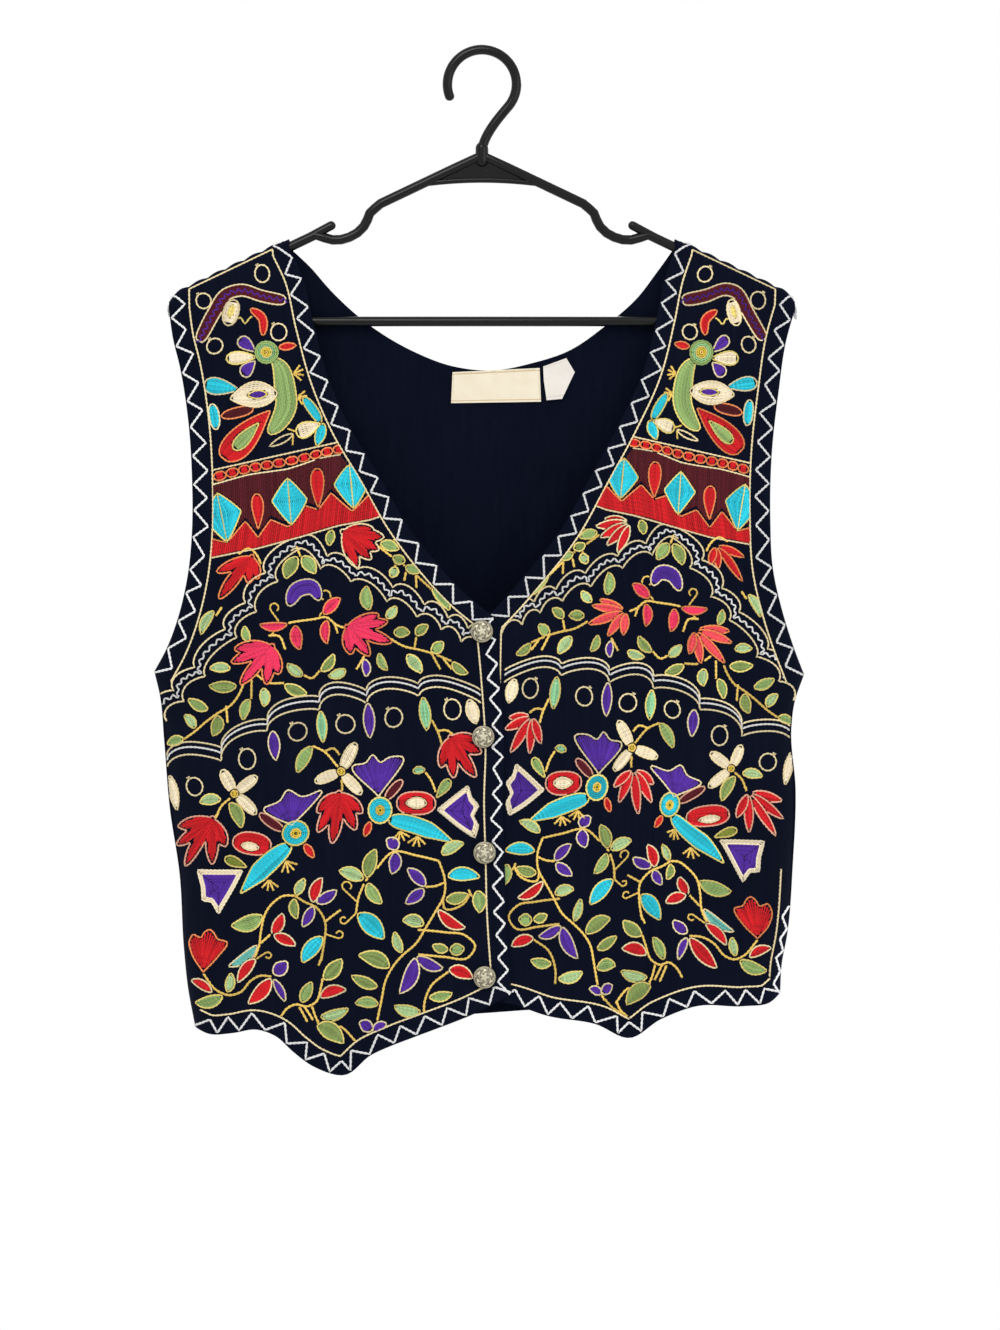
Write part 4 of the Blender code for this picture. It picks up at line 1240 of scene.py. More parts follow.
# Rings of a blue bird's head round its eye, from the outside in
EYE = ("straw", "turquoise", "turquoise", "turquoise", "gold", "yellow", "gold")
birds = [toe for place in BLUE_FEET for toe in foot(*place)]
birds = lay(birds,
            tail([(-168, -578), (-201, -577), (-198, -589), (-198, -600), (-191, -601), (-186, -610),
                  (-178, -596)]),
            patch([(-139, -549), (-157, -538)], 8, "peach", "maroon", "bean"),
            patch([(-163, -577), (-181, -570)], 8, "straw", "olive", "drop"),
            patch([(-176, -558), (-147, -561)], 18, "peach", "red", "bean"),
            patch([(-170, -561), (-155, -563)], 7.5, "cream", "ivory", "leaf"),
            patch([(-172, -596), (-158, -581), (-146, -570), (-134, -559)], 14, "straw", "turquoise", "body"),
            disc((-131, -551), 9.8, EYE),
            patch([(-125, -559), (-117, -570)], 7, "orange", "red", "leaf"),
            tail([(-33, -535), (-9, -517), (-7, -526), (-2, -532), (-6, -539), (-2, -546), (-4, -555)]),
            patch([(-68, -528), (-55, -514)], 8, "peach", "maroon", "bean"),
            patch([(-34, -529), (-22, -513)], 8.5, "straw", "green", "drop"),
            patch([(-33, -531), (-60, -531)], 17, "peach", "red", "bean"),
            patch([(-39, -531), (-54, -531)], 9, "cream", "ivory", "leaf"),
            patch([(-18, -558), (-36, -550), (-50, -545), (-66, -541)], 13, "straw", "turquoise", "body"),
            disc((-72, -535), 9.4, EYE),
            patch([(-79, -542), (-83, -554)], 6.5, "orange", "red", "leaf"))
for side in embroidery:
    embroider(f"blue_birds_{side}", side, birds)

# Vines: gold stems with leaves in green, turquoise, purple and red, in every gap between the
# other motifs, with hooked tendrils.
# columns: x and z of the base, x and z of the tip, width
LEAVES = {
    "green": [(-164, -418, -168, -406, 6.5), (-177, -436, -192, -435, 7.5), (-173, -449, -193, -448, 8.5),
              (-164, -458, -169, -473, 7.5), (-154, -450, -154, -463, 8), (-139, -447, -123, -454, 8),
              (-193, -464, -209, -457, 7.5), (-203, -478, -212, -468, 7.5), (-187, -468, -190, -484, 9),
              (-211, -486, -224, -491, 7.5), (-126, -441, -137, -431, 7.5), (-113, -438, -103, -425, 7.5),
              (-80, -394, -81, -377, 9), (-68, -400, -60, -391, 7.5), (-62, -411, -50, -412, 8),
              (-72, -424, -65, -437, 6.5), (-95, -436, -108, -442, 7.5), (-130, -356, -138, -373, 10),
              (-127, -356, -117, -370, 10), (-189, -394, -198, -413, 7.5), (-46, -414, -38, -406, 7.5),
              (-36, -424, -27, -417, 8), (-52, -426, -42, -440, 8.5), (-20, -430, -8, -439, 7),
              (-36, -380, -23, -395, 8.5), (-60, -352, -65, -345, 7.5), (-53, -361, -62, -356, 7.5),
              (-53, -364, -41, -367, 7.5), (-60, -364, -64, -372, 7.5), (-105, -339, -107, -350, 7),
              (-72, -347, -57, -352, 7.5), (-184, -529, -200, -531, 8), (-179, -531, -170, -549, 9),
              (-119, -491, -130, -509, 9), (-131, -595, -124, -582, 7), (-132, -597, -130, -612, 7),
              (-154, -610, -178, -617, 11), (-83, -583, -100, -578, 9.5), (-81, -582, -74, -562, 10),
              (-80, -585, -70, -601, 9.5), (-28, -567, -11, -558, 9), (-26, -598, -9, -593, 9),
              (-3, -591, -2, -608, 9.5), (-41, -616, -56, -613, 8.5), (-23, -632, -35, -629, 7.5),
              (-22, -632, -11, -631, 9.5), (-55, -636, -61, -619, 7), (-64, -646, -87, -637, 11.5),
              (-183, -666, -204, -672, 9.5), (-180, -664, -177, -650, 7), (-73, -658, -92, -651, 8),
              (-73, -671, -90, -671, 8.5), (-43, -677, -62, -672, 9), (-111, -654, -97, -640, 10),
              (-127, -670, -119, -655, 8.5), (-114, -681, -93, -674, 8), (-116, -687, -96, -699, 11.5),
              (-38, -666, -20, -662, 7.6)],
    "turquoise": [(-24, -581, 0, -582, 9.5), (-111, -624, -126, -643, 12), (-88, -608, -68, -625, 13)],
    "slate": [(-157, -630, -180, -647, 7.5)],
    "mint": [(-48, -509, -39, -507, 5.5)],
    "purple": [(-83, -428, -82, -442, 6.5), (-117, -601, -101, -591, 8.5), (-119, -603, -127, -617, 8),
               (-59, -564, -67, -555, 9.5), (-60, -565, -63, -580, 9.5), (-40, -589, -52, -576, 8.5),
               (-41, -590, -54, -602, 8.5), (-45, -638, -26, -646, 8.5), (-46, -639, -58, -664, 10),
               (-146, -650, -136, -641, 9.5), (-146, -653, -138, -670, 6), (-78, -690, -87, -684, 8.5),
               (-77, -690, -66, -685, 7)],
    "red": [(-119, -601, -111, -582, 9), (-147, -622, -140, -607, 8), (-146, -622, -130, -630, 8),
            (-32, -605, -10, -617, 8), (-23, -647, -5, -653, 9), (-158, -641, -173, -658, 8),
            (-147, -653, -166, -673, 10), (-190, -664, -207, -656, 7), (-114, -667, -94, -661, 8.5)],
    "pink": [(-137, -404, -158, -405, 7), (-132, -405, -128, -423, 8.5), (-112, -398, -99, -386, 8.5),
             (-109, -402, -108, -420, 7.5)]}
RIMS = {"green": "straw", "turquoise": "straw", "slate": "cream", "mint": "straw",
        "purple": "cream", "red": "cream", "pink": "orange"}
BEAN = [(-137, -391), (-130, -380), (-120, -379), (-114, -388)]
LEAF_BENDS = (0.1, -0.06, 0.04, -0.11)
LEAF_SPREAD = 1.0
BEAN_WIDTH = 12
GREENS = ("green", "sage", "moss")
STEM_WIDTH = 2.3
TENDRIL_WIDTH = 1.8
# A tendril's step, as a share of its stalk, how far its hook turns, and its first lean
TENDRIL_STEP = 0.065
TENDRIL_TURN = 4.6
TENDRIL_LEAN = 0.3
# Stems as the places they pass through
STEMS = [[(-132, -595), (-139, -595), (-146, -600), (-152, -608), (-155, -620), (-156, -631), (-160, -642)],
         [(-132, -595), (-125, -600), (-117, -604), (-110, -614), (-110, -628), (-112, -642)],
         [(-155, -629), (-148, -622)], [(-110, -614), (-99, -606)], [(-111, -638), (-114, -645)],
         [(-196, -651), (-186, -663), (-179, -666), (-171, -664), (-163, -656), (-155, -652), (-147, -652)],
         [(-110, -648), (-113, -660), (-117, -670), (-124, -673), (-131, -671), (-137, -674), (-141, -680)],
         [(-120, -673), (-116, -683), (-113, -687)], [(-116, -685), (-98, -688), (-88, -697)],
         [(-129, -673), (-123, -684)], [(-126, -672), (-119, -683)],
         [(-82, -584), (-74, -576), (-61, -565), (-45, -568), (-30, -571)],
         [(-83, -586), (-87, -596), (-89, -608)],
         [(-30, -571), (-26, -582), (-27, -595), (-33, -606), (-40, -618), (-46, -629), (-55, -638),
          (-62, -646), (-68, -656), (-70, -664), (-72, -673), (-75, -686), (-79, -694)],
         [(-40, -589), (-33, -588), (-26, -585)],
         [(-45, -619), (-26, -620), (-11, -622), (-4, -630), (-8, -638), (-26, -638), (-44, -637)],
         [(-41, -681), (-41, -671), (-36, -658), (-23, -648)], [(-40, -508), (-36, -514), (-33, -523)],
         [(-28, -596), (-27, -604), (-12, -600), (-8, -593)],
         [(-148, -413), (-142, -405), (-135, -403), (-118, -401), (-110, -400), (-102, -406), (-93, -409)],
         [(-168, -447), (-172, -455), (-178, -462), (-187, -467), (-194, -472), (-204, -481), (-212, -487)],
         [(-187, -467), (-190, -478)], [(-181, -462), (-180, -474)],
         [(-150, -413), (-143, -413), (-138, -422)], [(-104, -404), (-101, -412)],
         [(-162, -440), (-163, -458)], [(-159, -440), (-150, -446), (-139, -446)],
         [(-126, -440), (-120, -443), (-113, -437)], [(-82, -425), (-88, -436)],
         [(-66, -414), (-53, -421), (-44, -423), (-32, -426), (-20, -430)],
         [(-46, -414), (-47, -422)], [(-36, -424), (-29, -436)], [(-27, -428), (-20, -436)],
         [(-82, -343), (-73, -349), (-62, -357), (-52, -365), (-42, -375), (-30, -386)],
         [(-60, -358), (-60, -370)], [(-52, -366), (-54, -375)], [(-46, -371), (-46, -380)],
         [(-172, -355), (-165, -351), (-158, -356), (-155, -362)], [(-184, -392), (-188, -398)],
         [(-131, -349), (-128, -356)], [(-119, -491), (-110, -495), (-100, -505)],
         [(-110, -495), (-103, -493), (-99, -497)], [(-98, -512), (-99, -524), (-106, -527)],
         [(-99, -524), (-92, -528)], [(-178, -528), (-184, -533), (-188, -541)],
         [(-186, -538), (-192, -542), (-199, -540)], [(-37, -470), (-30, -484), (-27, -494)],
         [(-32, -480), (-25, -479), (-20, -482)], [(-98, -340), (-90, -338)],
         [(-9, -590), (-6, -596), (-3, -591)]]
# Two that meet at the left front's point
LEFT_STEMS = [[(-79, -693), (-86, -700), (-95, -705)], [(-89, -696), (-91, -701), (-96, -706)]]
TENDRILS = [(-142, -404, -147, -388, -1), (-115, -399, -109, -380, 1), (-158, -641, -146, -637, -1),
            (-110, -622, -96, -622, 1), (-88, -600, -96, -584, -1), (-89, -608, -100, -614, -1)]


def tendril(x0, z0, x1, z1, turn):
    """A stalk that ends in a small hook."""
    step = TENDRIL_STEP * math.hypot(x1 - x0, z1 - z0)
    curl = np.clip(np.linspace(-0.8, 1, 24), 0, 1)
    angle = math.atan2(z1 - z0, x1 - x0) + turn * (TENDRIL_TURN * curl**1.1 - TENDRIL_LEAN)
    path = np.cumsum(np.column_stack([np.cos(angle), np.sin(angle)]) * step, axis=0)
    return line("gold", np.vstack([(x0, z0), (x0, z0) + path]), width=TENDRIL_WIDTH)


vines = [curve("gold", stem, width=STEM_WIDTH) for stem in STEMS]
vines += [tendril(*row) for row in TENDRILS]
for outline in taken:
    vines = cut_rows(vines, outline, False)
for fill, leaves in LEAVES.items():
    for k, (x0, z0, x1, z1, width) in enumerate(leaves):
        bend = LEAF_BENDS[k % 4]
        shade = GREENS[k % 3] if fill == "green" else fill
        vines = lay(vines, patch([(x0, z0), (x1, z1)], width + LEAF_SPREAD, RIMS[fill], shade, bend=bend))
vines = lay(vines, patch(BEAN, BEAN_WIDTH, "cream", "purple", "bean"))
embroider("vines_right", "right", vines)
embroider("vines_left", "left", vines + [curve("gold", stem, width=STEM_WIDTH) for stem in LEFT_STEMS])

# Back: one panel of the same plain cotton, rolled over the shoulders to the same seams. Its turned
# edges are topstitched in navy thread, and its inside shows through the open neck.
BACK_NECK = [(-137, -137), (-122, -151), (-108, -167), (-80, -192), (-50, -210), (-21, -221), (8, -224),
             (35, -219), (62, -210), (87, -193), (111, -172), (124, -155), (137, -137)]
BACK_HEM = [(-204, -690), (0, -683), (212, -666)]
BACK_ARMHOLE_INSET = 5
BACK_FOLDS = [(-165, 18, 3.0, -430, 10), (-120, 20, -3.2, -380, 14), (-68, 22, 3.2, -330, 16),
              (-20, 18, -2.6, -300, 8), (30, 22, 3.4, -320, -10), (85, 20, -3.2, -340, -16),
              (135, 20, 3.0, -400, -14), (178, 15, -2.6, -450, -8)]
BACK_CREASES = [(-30, -270, -52, -318, 9, -1.0), (48, -290, 12, -372, 8, 1.4), (64, -300, 30, -386, 9, -1.2),
                (-78, -262, -30, -360, 9, 1.0), (-96, -250, -60, -300, 10, -0.9), (0, -262, 2, -330, 7, -0.7),
                (-206, -440, -150, -500, 9, -1.5), (204, -440, 150, -496, 9, -1.5),
                (-196, -330, -170, -400, 8, 1.0), (190, -320, 168, -396, 8, 1.0),
                (-60, -470, -20, -560, 10, 1.0), (70, -480, 40, -590, 10, -1.1),
                (-120, -560, -110, -660, 8, 1.0), (120, -560, 128, -650, 8, 0.9)]
BACK_TURN = math.pi / 3 - 0.04
SHOULDER_COLUMNS = 18
NECK_COLUMNS = 90
TOPSTITCH_INSET = 6.0
# columns: a stitch's length, width and height
TOPSTITCH = (2.6, 0.6, 0.35)
# A stitch and the gap after it, against the stitch
STITCH_STEP = 1.25


def back_form(x, z):
    """Places on the back's outer face, in mm."""
    y = np.maximum(stand_off(x, z, 2, BACK_FOLDS, BACK_CREASES), SEAM_Y + SEAM_GAP / 2)
    return roll(x, z, y, 1)


def back_edges():
    """The back's two side edges, right and left, cut in a little further at the armholes."""
    edges = [two_stretches(RIGHT_ARMHOLE, RIGHT_SIDE, FRONT_ROWS),
             two_stretches(LEFT_ARMHOLE, LEFT_SIDE, FRONT_ROWS)]
    upper = FRONT_ROWS // 2 + 1
    inset = BACK_ARMHOLE_INSET * np.sin(np.linspace(0, math.pi, upper))
    edges[0][:upper, 0] += inset
    edges[1][:upper, 0] -= inset
    return edges


def back_panel():
    """The back as a thin wall, from the seams on top of the shoulders down to the hem."""
    share = np.linspace(0, 1, SHOULDER_COLUMNS + 1)
    right_x = RIGHT_ARMHOLE[0][0] + (BACK_NECK[0][0] - RIGHT_ARMHOLE[0][0]) * share
    left_x = BACK_NECK[-1][0] + (LEFT_ARMHOLE[0][0] - BACK_NECK[-1][0]) * share
    top = np.vstack([np.column_stack([right_x, shoulder_line(right_x)]),
                     smooth(BACK_NECK, NECK_COLUMNS + 1)[1:-1],
                     np.column_stack([left_x, shoulder_line(left_x)])])
    s = np.append(0, np.cumsum(np.abs(np.diff(top[:, 0]))))
    s /= s[-1]
    hem = smooth(BACK_HEM, 400)
    bottom = read_line(hem, s * lengths(hem)[-1])
    right_edge, left_edge = back_edges()
    flat = coons(top, bottom, right_edge, left_edge, s, np.linspace(0, 1, FRONT_ROWS + 1))
    rise = np.linspace(BACK_TURN, 0, ROLL_ROWS + 1)[:-1, None, None] * SHOULDER_R * ARM_STRETCH
    flat = np.vstack([top[None] + rise * (0, 1), flat])
    shoulders = np.arange(len(top)) <= SHOULDER_COLUMNS
    shoulders |= shoulders[::-1]
    present = np.ones((len(flat) - 1, len(top) - 1), bool)
    present[:ROLL_ROWS] = shoulders[1:] & shoulders[:-1]
    places = back_form(flat[..., 0], flat[..., 1])
    piece = grid_piece("cloth_back", places[:, ::-1], flat[:, ::-1], present[:, ::-1])
    thicken(piece, CLOTH)
    piece.data.materials.append(COTTON)
    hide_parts("back")
    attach(piece, "root")
    return piece


def running_stitches(colour, path, length, width, height):
    """Short stitches with small gaps between them along a path."""
    count = int(lengths(path)[-1] / (length * STITCH_STEP))
    starts = np.arange(count) * length * STITCH_STEP
    return [line(colour, read_line(path, np.linspace(at, at + length, 4)), width=width, height=height)
            for at in starts]


back_cloth = back_panel()
right_edge, left_edge = back_edges()
upper = FRONT_ROWS // 2 + 1
topstitched = [offset(smooth(BACK_NECK, 300)[20:-20], TOPSTITCH_INSET, -1),
               offset(smooth(BACK_HEM, 300)[8:-8], TOPSTITCH_INSET, 1),
               offset(right_edge[4:upper], TOPSTITCH_INSET, 1),
               offset(left_edge[4:upper], TOPSTITCH_INSET, -1)]
back_stitches = sew("back_topstitching", back_form, 1,
                    [stitch for path in topstitched
                     for stitch in running_stitches("navy", path, *TOPSTITCH)])

# Buttons: four domed shank buttons of antiqued silver, cast with a corded rim and scrolls round a
# flower, and sewn through the lapping front by their shanks.
BUTTONS = [(0, -410), (1, -484), (2, -565), (2, -652)]
BUTTON_R = 8.0
BUTTON_RIM = 1.0
BUTTON_DOME = 2.8
SHANK_R = 2.2
SHANK_H = 1.8
BUTTON_SEAT = 0.4
# How far above and below a button the cloth's lean is read
LEAN_REACH = 6
BUTTON_SIDES = 96
# How the rim's foot is rounded, as insets and rises
BUTTON_FOOT = ((0.7, 0), (0.15, 0.3))
RELIEF = 0.38
RELIEF_SINK = 0.2
# The casting's cords, scrolls, veins and flower: places and spreads as shares of the radius, counts
# round the button, and leans in radians over the radius
CORD_AT = 0.93
CORD_SPREAD = 0.05
CORD_TWISTS = 34
CORD_LEAN = 22
INNER_AT = 0.4
INNER_SPREAD = 0.035
INNER_TWISTS = 22
SCROLLS = 6
SCROLL_SWING = 5.2
SCROLLS_FROM = 0.44
SCROLLS_TO = 0.86
VEINS = 24
VEIN_LEAN = 16
FLOWER_R = 0.34
FLOWER_PETALS = 5
HEART_R = 0.1
# How much further each button is turned than the last, in radians
SEWN_TURN = 1.1
SILVER_HOLLOW = (0.05, 0.044, 0.031)
SILVER_WORN = (0.62, 0.57, 0.42)
SILVER_GRAIN = 900
SILVER_PITS = 0.00008


def closed_skin(name, rings):
    """A solid from rings of points; each ring repeats its first point, and the end rings are points."""
    piece = grid_piece(name, np.array(rings), np.zeros((len(rings), len(rings[0]), 2)))
    pick(piece)
    bpy.ops.object.mode_set(mode="EDIT")
    bpy.ops.mesh.select_all(action="SELECT")
    bpy.ops.mesh.remove_doubles(threshold=1e-6)
    bpy.ops.mesh.normals_make_consistent(inside=False)
    bpy.ops.object.mode_set(mode="OBJECT")
    bpy.ops.object.shade_smooth_by_angle(angle=math.radians(40))
    return piece


def relief(share, turn):
    """Height of the casting over the plain dome, by share of the radius and by angle."""
    twist = np.cos(CORD_TWISTS * turn + CORD_LEAN * share)
    cord = np.exp(-(((share - CORD_AT) / CORD_SPREAD) ** 2)) * (0.72 + 0.28 * twist)
    inner_twist = np.cos(INNER_TWISTS * turn)
    inner_cord = 0.7 * np.exp(-(((share - INNER_AT) / INNER_SPREAD) ** 2)) * (0.8 + 0.2 * inner_twist)
    bow = np.sin(math.pi * np.clip((share - 0.42) / 0.44, 0, 1))
    band = smooth_step((share - SCROLLS_FROM) / 0.05) * smooth_step((SCROLLS_TO - share) / 0.04)
    curls = band * smooth_step((np.cos(SCROLLS * turn + SCROLL_SWING * bow) - 0.15) / 0.5)
    veins = band * 0.45 * smooth_step((np.cos(VEINS * turn - VEIN_LEAN * share) - 0.35) / 0.4)
    petals = smooth_step((FLOWER_R - share * (1 + 0.28 * np.cos(FLOWER_PETALS * turn))) / 0.08)
    petals *= smooth_step((share - 0.08) / 0.05)
    heart = smooth_step((HEART_R - share) / 0.03)
    return np.maximum.reduce(np.broadcast_arrays(cord, inner_cord, curls, veins, 0.85 * petals, heart))


def antique_silver():
    """Cast silver, dark in its hollows and worn bright on its high places."""
    made, tree, shader = finish_material("antique_silver", {"Roughness": 0.45, "Metallic": 1.0})
    high = node(tree, "ShaderNodeAttribute", attribute_name="high")
    grain = noise(tree, object_place(tree), SILVER_GRAIN)
    mask = maths(tree, "ADD", maths(tree, "MULTIPLY", high.outputs["Fac"], 0.85),
                 maths(tree, "MULTIPLY", grain, 0.25))
    tree.links.new(colour_between(tree, mask, SILVER_HOLLOW, SILVER_WORN), shader.inputs["Base Color"])
    bump(tree, shader, grain, SILVER_PITS, 0.5)
    return made


SILVER = antique_silver()
face = SHANK_H + BUTTON_RIM
dome = np.linspace(0, math.pi / 2, 40)
sections = [(0, 0), (SHANK_R, 0), (SHANK_R, SHANK_H)]
sections += [(BUTTON_R - inset, SHANK_H + rise) for inset, rise in BUTTON_FOOT]
plain = len(sections)
sections += [(BUTTON_R * math.cos(a), face + BUTTON_DOME * math.sin(a)) for a in dome]
radius, height = np.array(sections).T
turn = np.linspace(0, 2 * math.pi, BUTTON_SIDES + 1)
share = (radius / BUTTON_R)[:, None]
cast = np.where(np.arange(len(sections))[:, None] >= plain, relief(share, turn[None]), 0)
for number, (x, z) in enumerate(BUTTONS, start=1):
    here = right_form(np.array([x, x], float), np.array([z + LEAN_REACH, z - LEAN_REACH], float))
    lean = math.atan2(here[0, 1] - here[1, 1], 2 * LEAN_REACH)
    turned = turn + number * SEWN_TURN
    local = np.stack([radius[:, None] * np.cos(turned), radius[:, None] * np.sin(turned),
                      height[:, None] + RELIEF * cast - RELIEF_SINK * (cast > 0)], axis=-1)
    tilt = math.pi / 2 - lean
    spin = np.array([(1, 0, 0), (0, math.cos(tilt), -math.sin(tilt)), (0, math.sin(tilt), math.cos(tilt))])
    seat = np.array([x, here[:, 1].mean() - BUTTON_SEAT, z])
    piece = closed_skin(f"cast_button_{number}", local @ spin.T + seat)
    mesh = piece.data
    spots = np.empty(3 * len(mesh.vertices))
    mesh.vertices.foreach_get("co", spots)
    back_in_local = (spots.reshape(-1, 3) / MM - seat) @ spin
    away = np.hypot(back_in_local[:, 0], back_in_local[:, 1]) / BUTTON_R
    around = np.arctan2(back_in_local[:, 1], back_in_local[:, 0]) - number * SEWN_TURN
    high = mesh.attributes.new("high", "FLOAT", "POINT")
    high.data.foreach_set("value", relief(away, around) * (back_in_local[:, 2] > face - 0.3))
    mesh.materials.append(SILVER)
    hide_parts(f"button_{number}")
    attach(piece, "root")

# Labels: a woven cream label with tan border lines, sewn inside the back of the neck, and a white
# care tag whose foot hangs free beside it. Both are blank.
NECK_LABEL = [(-21, -225, 41, -222), (-22, -247, 42, -246)]
SIZE_TAG = [(43.5, -221, 60, -215), (44, -231, 66, -225), (46, -245, 57, -244)]
LABEL_WALL = 0.55
LABEL_CLEAR = 0.25
TAG_LIFT = 1.6
# How far the neck label's foot stands off, the height where labels are sewn on, and their free drop
LABEL_LIFT = 0.2
LABEL_TOP = -222
LABEL_DROP = 24
RIPPLE = 0.35
RIBBON_THREADS = 2400
RIBBON_RELIEF = 0.00012
RIBBON_BLOTCHES = 90
# The border lines' inset and half width, in metres
BORDER_INSET = 0.0016
BORDER_HALF = 0.0003
# columns: name, cloth and its shade, border lines (all linear colours), height in metres
RIBBONS = [("cream_ribbon", (0.75, 0.69, 0.56), (0.66, 0.57, 0.41), (0.5, 0.36, 0.2), 0.022),
           ("white_ribbon", (0.72, 0.7, 0.65), (0.62, 0.56, 0.5), (0.56, 0.52, 0.47), 0.024)]
# Where the neck label is stitched down: its two ends and its top
LABEL_SEAMS = [[(-20.2, -226), (-20.9, -246)], [(40.2, -223), (41.0, -245)], [(-20, -226), (40, -223)]]
# columns: a stitch's length, width and height
LABEL_STITCH = (2.2, 0.5, 0.3)
LABEL_ROWS = 24
LABEL_COLUMNS = 48


def label_form(lift):
    """The place of a label's face that lies on the back's inner face and stands off towards its foot."""
    def form(x, z):
        free = np.clip((LABEL_TOP - z) / LABEL_DROP, 0, 1)
        ripple = RIPPLE * np.sin(x / 5.2 + 0.4) * free
        y = stand_off(x, z, 2, BACK_FOLDS, BACK_CREASES) - CLOTH - LABEL_CLEAR - LABEL_WALL
        return np.stack([x, y - lift * free**1.5 - ripple - RIPPLE, z], axis=-1)
    return form


def label_material(name, cloth, dark, line_colour, size):
    """A woven ribbon with two thin lines along its edges; the pattern is in metres from its corner."""
    made, tree, shader = finish_material(name, {"Roughness": 0.6, "Sheen Weight": 0.15})
    weave, place = woven(tree, RIBBON_THREADS)
    ground = colour_between(tree, noise(tree, place, RIBBON_BLOTCHES), dark, cloth)
    apart = node(tree, "ShaderNodeSeparateXYZ")
    tree.links.new(place, apart.inputs[0])
    bars = []
    for at in (BORDER_INSET, size - BORDER_INSET):
        off = maths(tree, "ABSOLUTE", maths(tree, "SUBTRACT", apart.outputs[1], at))
        bars.append(maths(tree, "LESS_THAN", off, BORDER_HALF))
    mask = maths(tree, "MAXIMUM", *bars)
    lined = node(tree, "ShaderNodeMix", data_type="RGBA")
    tree.links.new(mask, lined.inputs["Factor"])
    tree.links.new(ground, lined.inputs[6])
    lined.inputs[7].default_value = (*line_colour, 1)
    tree.links.new(lined.outputs[2], shader.inputs["Base Color"])
    bump(tree, shader, weave.outputs["Height"], RIBBON_RELIEF, 0.6)
    return made


def label(name, node_name, table, lift, finish):
    """One ribbon from a table of its sides from top to bottom: x, z on the left, x, z on the right."""
    rows = np.array(table, float)
    down = np.linspace(0, 1, LABEL_ROWS + 1)
    edges = np.column_stack([np.interp(down, np.linspace(0, 1, len(rows)), rows[:, k]) for k in range(4)])
    across = np.linspace(0, 1, LABEL_COLUMNS + 1)[None]
    x = edges[:, 0, None] + (edges[:, 2] - edges[:, 0])[:, None] * across
    z = edges[:, 1, None] + (edges[:, 3] - edges[:, 1])[:, None] * across
    size = np.array([rows[0, 2] - rows[0, 0], rows[0, 1] - rows[-1, 1]])
    pattern = np.stack([across * size[0] + 0 * x, (1 - down[:, None]) * size[1] + 0 * x], axis=-1)
    piece = grid_piece(name, label_form(lift)(x, z), pattern)
    thicken(piece, LABEL_WALL)
    piece.data.materials.append(finish)
    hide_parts(node_name)
    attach(piece, "root")
    return piece


cream_ribbon, white_ribbon = [label_material(*row) for row in RIBBONS]
woven_label = label("woven_neck_label", "neck_label", NECK_LABEL, LABEL_LIFT, cream_ribbon)
care_tag = label("white_care_tag", "size_tag", SIZE_TAG, TAG_LIFT, white_ribbon)
label_stitches = sew("label_stitches", label_form(LABEL_LIFT), -1,
                     [stitch for path in LABEL_SEAMS
                      for stitch in running_stitches("ivory", np.array(path, float), *LABEL_STITCH)])

# Hanger: one moulding of black plastic, with a round arm each side that dips into a strap notch, a
# thin web and its rib under the apex, a straight cross bar, and a fixed round hook.
TUBE_R = 3.5
HANGER_HALF = 216.0
BAR_Z = -189.5
BEND_R = 10.2
HOOK_INNER_R = 21.0
BOSS_R = 4.6
BOSS_RISE = (-4, 0, 5)
# The arm's straight stretches, before and after its notch
ARM_INNER_X = (0, 20, 40, 60, 72)
ARM_OUTER_X = (119, 150, 180)
NOTCH = [(76, -109.2), (79.6, -112.6), (81.4, -117.4), (84, -122.2), (88.5, -126.6), (94, -129.6),
         (100, -131.4), (106, -131.6), (112, -130)]
WEB_HALF = 44
WEB_ARCH = 3.4
WEB_WALL = 2.6
WEB_TOP_SHARE = 0.98
RIB_R = 2.0
RIB_HALF = WEB_HALF + 2
# How far the bent end of an arm runs on along the cross bar
BEND_LAP = 3
# The finger over each strap notch: its places outwards in, and its rise towards its tip
FINGER_X = (126, 118, 107)
FINGER_RISE = 1.2 / 20
FINGER_R = TUBE_R - 0.25
GATE_MARK = [(2.6, -83.5), (2.6, -83.0), (2.6, -82.5)]
GATE_MARK_R = 1.5
# Where the stem meets the hook's circle, below its near side, and where the hook ends, in degrees
HOOK_FROM = 40
HOOK_TO = 200
# The stem's curve: how straight it runs into the hook, its foot above the apex, and its lower bend
STEM_PULL = 9
STEM_FOOT = 2
STEM_BEND_Z = -58
TUBE_SIDES = 28
PLASTIC_GRAIN = 420
PLASTIC_SCUFFS = 38
PLASTIC_PITS = 0.00006
PLASTIC_DARK = (0.0012, 0.0012, 0.0013)
PLASTIC_LIGHT = (0.0028, 0.0028, 0.003)


def arm_z(x):
    """Height of a straight arm's axis."""
    return APEX_Z - ARM_SLOPE * np.abs(x)


def rod(name, path, radius):
    """A round rod along places (x, z) in the hanger's plane, closed with a dome at each end."""
    way = np.gradient(path, axis=0)
    way /= np.linalg.norm(way, axis=1, keepdims=True)
    bow = np.linspace(0, math.pi / 2, 8)
    stations = []
    for at, heading in ((0, -1), (-1, 1)):
        cap = [(path[at] + heading * way[at] * radius * math.sin(a), way[at], radius * math.cos(a))
               for a in bow[1:]]
        stations.append(cap[::-1] if heading < 0 else cap)
    middle = [(place, step, radius) for place, step in zip(path, way)]
    turn = np.linspace(0, 2 * math.pi, TUBE_SIDES + 1)[:, None]
    rings = []
    for (x, z), (way_x, way_z), r in stations[0] + middle + stations[1]:
        rings.append((x, 0, z) + r * (np.cos(turn) * (-way_z, 0, way_x) + np.sin(turn) * (0, 1, 0)))
    return closed_skin(name, rings)


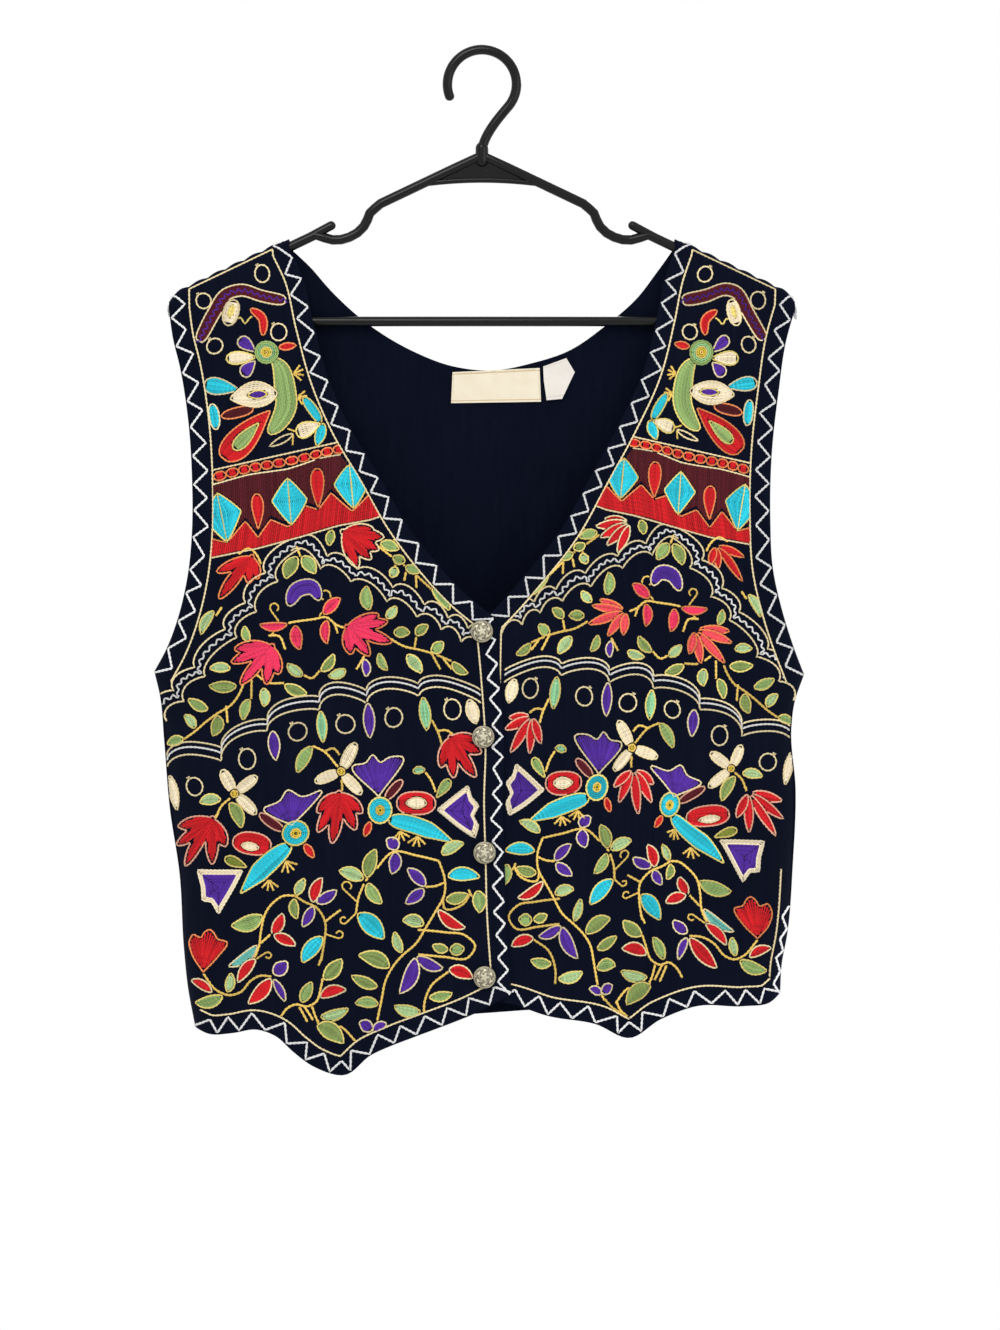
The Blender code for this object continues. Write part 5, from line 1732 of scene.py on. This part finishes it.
def black_plastic():
    """Moulded plastic with a fine grain, glossier and duller in patches."""
    made, tree, shader = finish_material("black_moulding", {"Roughness": 0.3, "Specular IOR Level": 0.22})
    place = object_place(tree)
    grain = noise(tree, place, PLASTIC_GRAIN, 4)
    scuffs = noise(tree, place, PLASTIC_SCUFFS)
    tree.links.new(maths(tree, "MULTIPLY_ADD", scuffs, 0.16, 0.14), shader.inputs["Roughness"])
    speckle = colour_between(tree, grain, PLASTIC_DARK, PLASTIC_LIGHT)
    tree.links.new(speckle, shader.inputs["Base Color"])
    bump(tree, shader, grain, PLASTIC_PITS, 0.4)
    return made


bend_x = HANGER_HALF - TUBE_R - BEND_R
arm = [(x, float(arm_z(x))) for x in ARM_INNER_X] + NOTCH
arm += [(x, float(arm_z(x))) for x in ARM_OUTER_X]
bend = np.linspace(math.pi / 2 - math.atan(ARM_SLOPE), -math.pi / 2, 12)
arm += [(bend_x + BEND_R * math.cos(a), BAR_Z + BEND_R + BEND_R * math.sin(a)) for a in bend]
arm = np.array(arm + [(bend_x - BEND_LAP, BAR_Z)])
both = np.vstack([arm[:0:-1] * (-1, 1), arm])
hook_r = HOOK_INNER_R + TUBE_R
t = np.linspace(0, 1, 14)[:, None]
lean = math.radians(HOOK_FROM)
join_at = np.array([hook_r * math.cos(lean), -HOOK_INNER_R - hook_r * math.sin(lean)])
pull = join_at - STEM_PULL * np.array([math.sin(lean), math.cos(lean)])
stem = ((1 - t)**3 * (0, APEX_Z + STEM_FOOT) + 3 * (1 - t)**2 * t * (0, STEM_BEND_Z)
        + 3 * (1 - t) * t**2 * pull + t**3 * join_at)
sweep = np.radians(np.linspace(-HOOK_FROM, HOOK_TO, 60))[1:]
hook = np.vstack([stem, np.column_stack([hook_r * np.cos(sweep), -HOOK_INNER_R + hook_r * np.sin(sweep)])])
rib_x = np.linspace(-RIB_HALF, RIB_HALF, 30)
rib_z = float(arm_z(WEB_HALF)) + WEB_ARCH * (1 - (rib_x / RIB_HALF) ** 2)
cross_bar = np.array([(-bend_x, BAR_Z), (0, BAR_Z), (bend_x, BAR_Z)])
parts = [rod("moulded_hanger", both, TUBE_R), rod("hanger_cross_bar", cross_bar, TUBE_R),
         rod("hanger_hook_rod", hook, TUBE_R), rod("hanger_rib", np.column_stack([rib_x, rib_z]), RIB_R),
         rod("hanger_boss", np.array([(0, APEX_Z + rise) for rise in BOSS_RISE]), BOSS_R)]
for side in (-1, 1):
    finger = np.array([(side * x, float(arm_z(x)) + FINGER_RISE * (FINGER_X[0] - x)) for x in FINGER_X])
    parts.append(rod(f"hanger_finger_{side}", finger, FINGER_R))
web_x = np.linspace(-WEB_HALF, WEB_HALF, 30)
web_low = np.column_stack([web_x, rib_z[0] + WEB_ARCH * (1 - (web_x / WEB_HALF) ** 2)])
web_high = np.column_stack([web_x * WEB_TOP_SHARE, arm_z(web_x)])
rings = []
half = WEB_WALL / 2
for low, high in zip(web_low, web_high):
    rings.append([(low[0], -half, low[1]), (high[0], -half, high[1]), (high[0], half, high[1]),
                  (low[0], half, low[1]), (low[0], -half, low[1])])
rings = [[rings[0][0]] * 5] + rings + [[rings[-1][0]] * 5]
parts.append(closed_skin("hanger_web", rings))
parts.append(rod("hanger_gate_mark", np.array(GATE_MARK), GATE_MARK_R))
pick(*parts)
bpy.ops.object.join()
moulding = bpy.context.object
moulding.data.materials.clear()
moulding.data.materials.append(black_plastic())
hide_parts("hanger_hook", "hanger_yoke", "hanger_bar")
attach(moulding, "root")
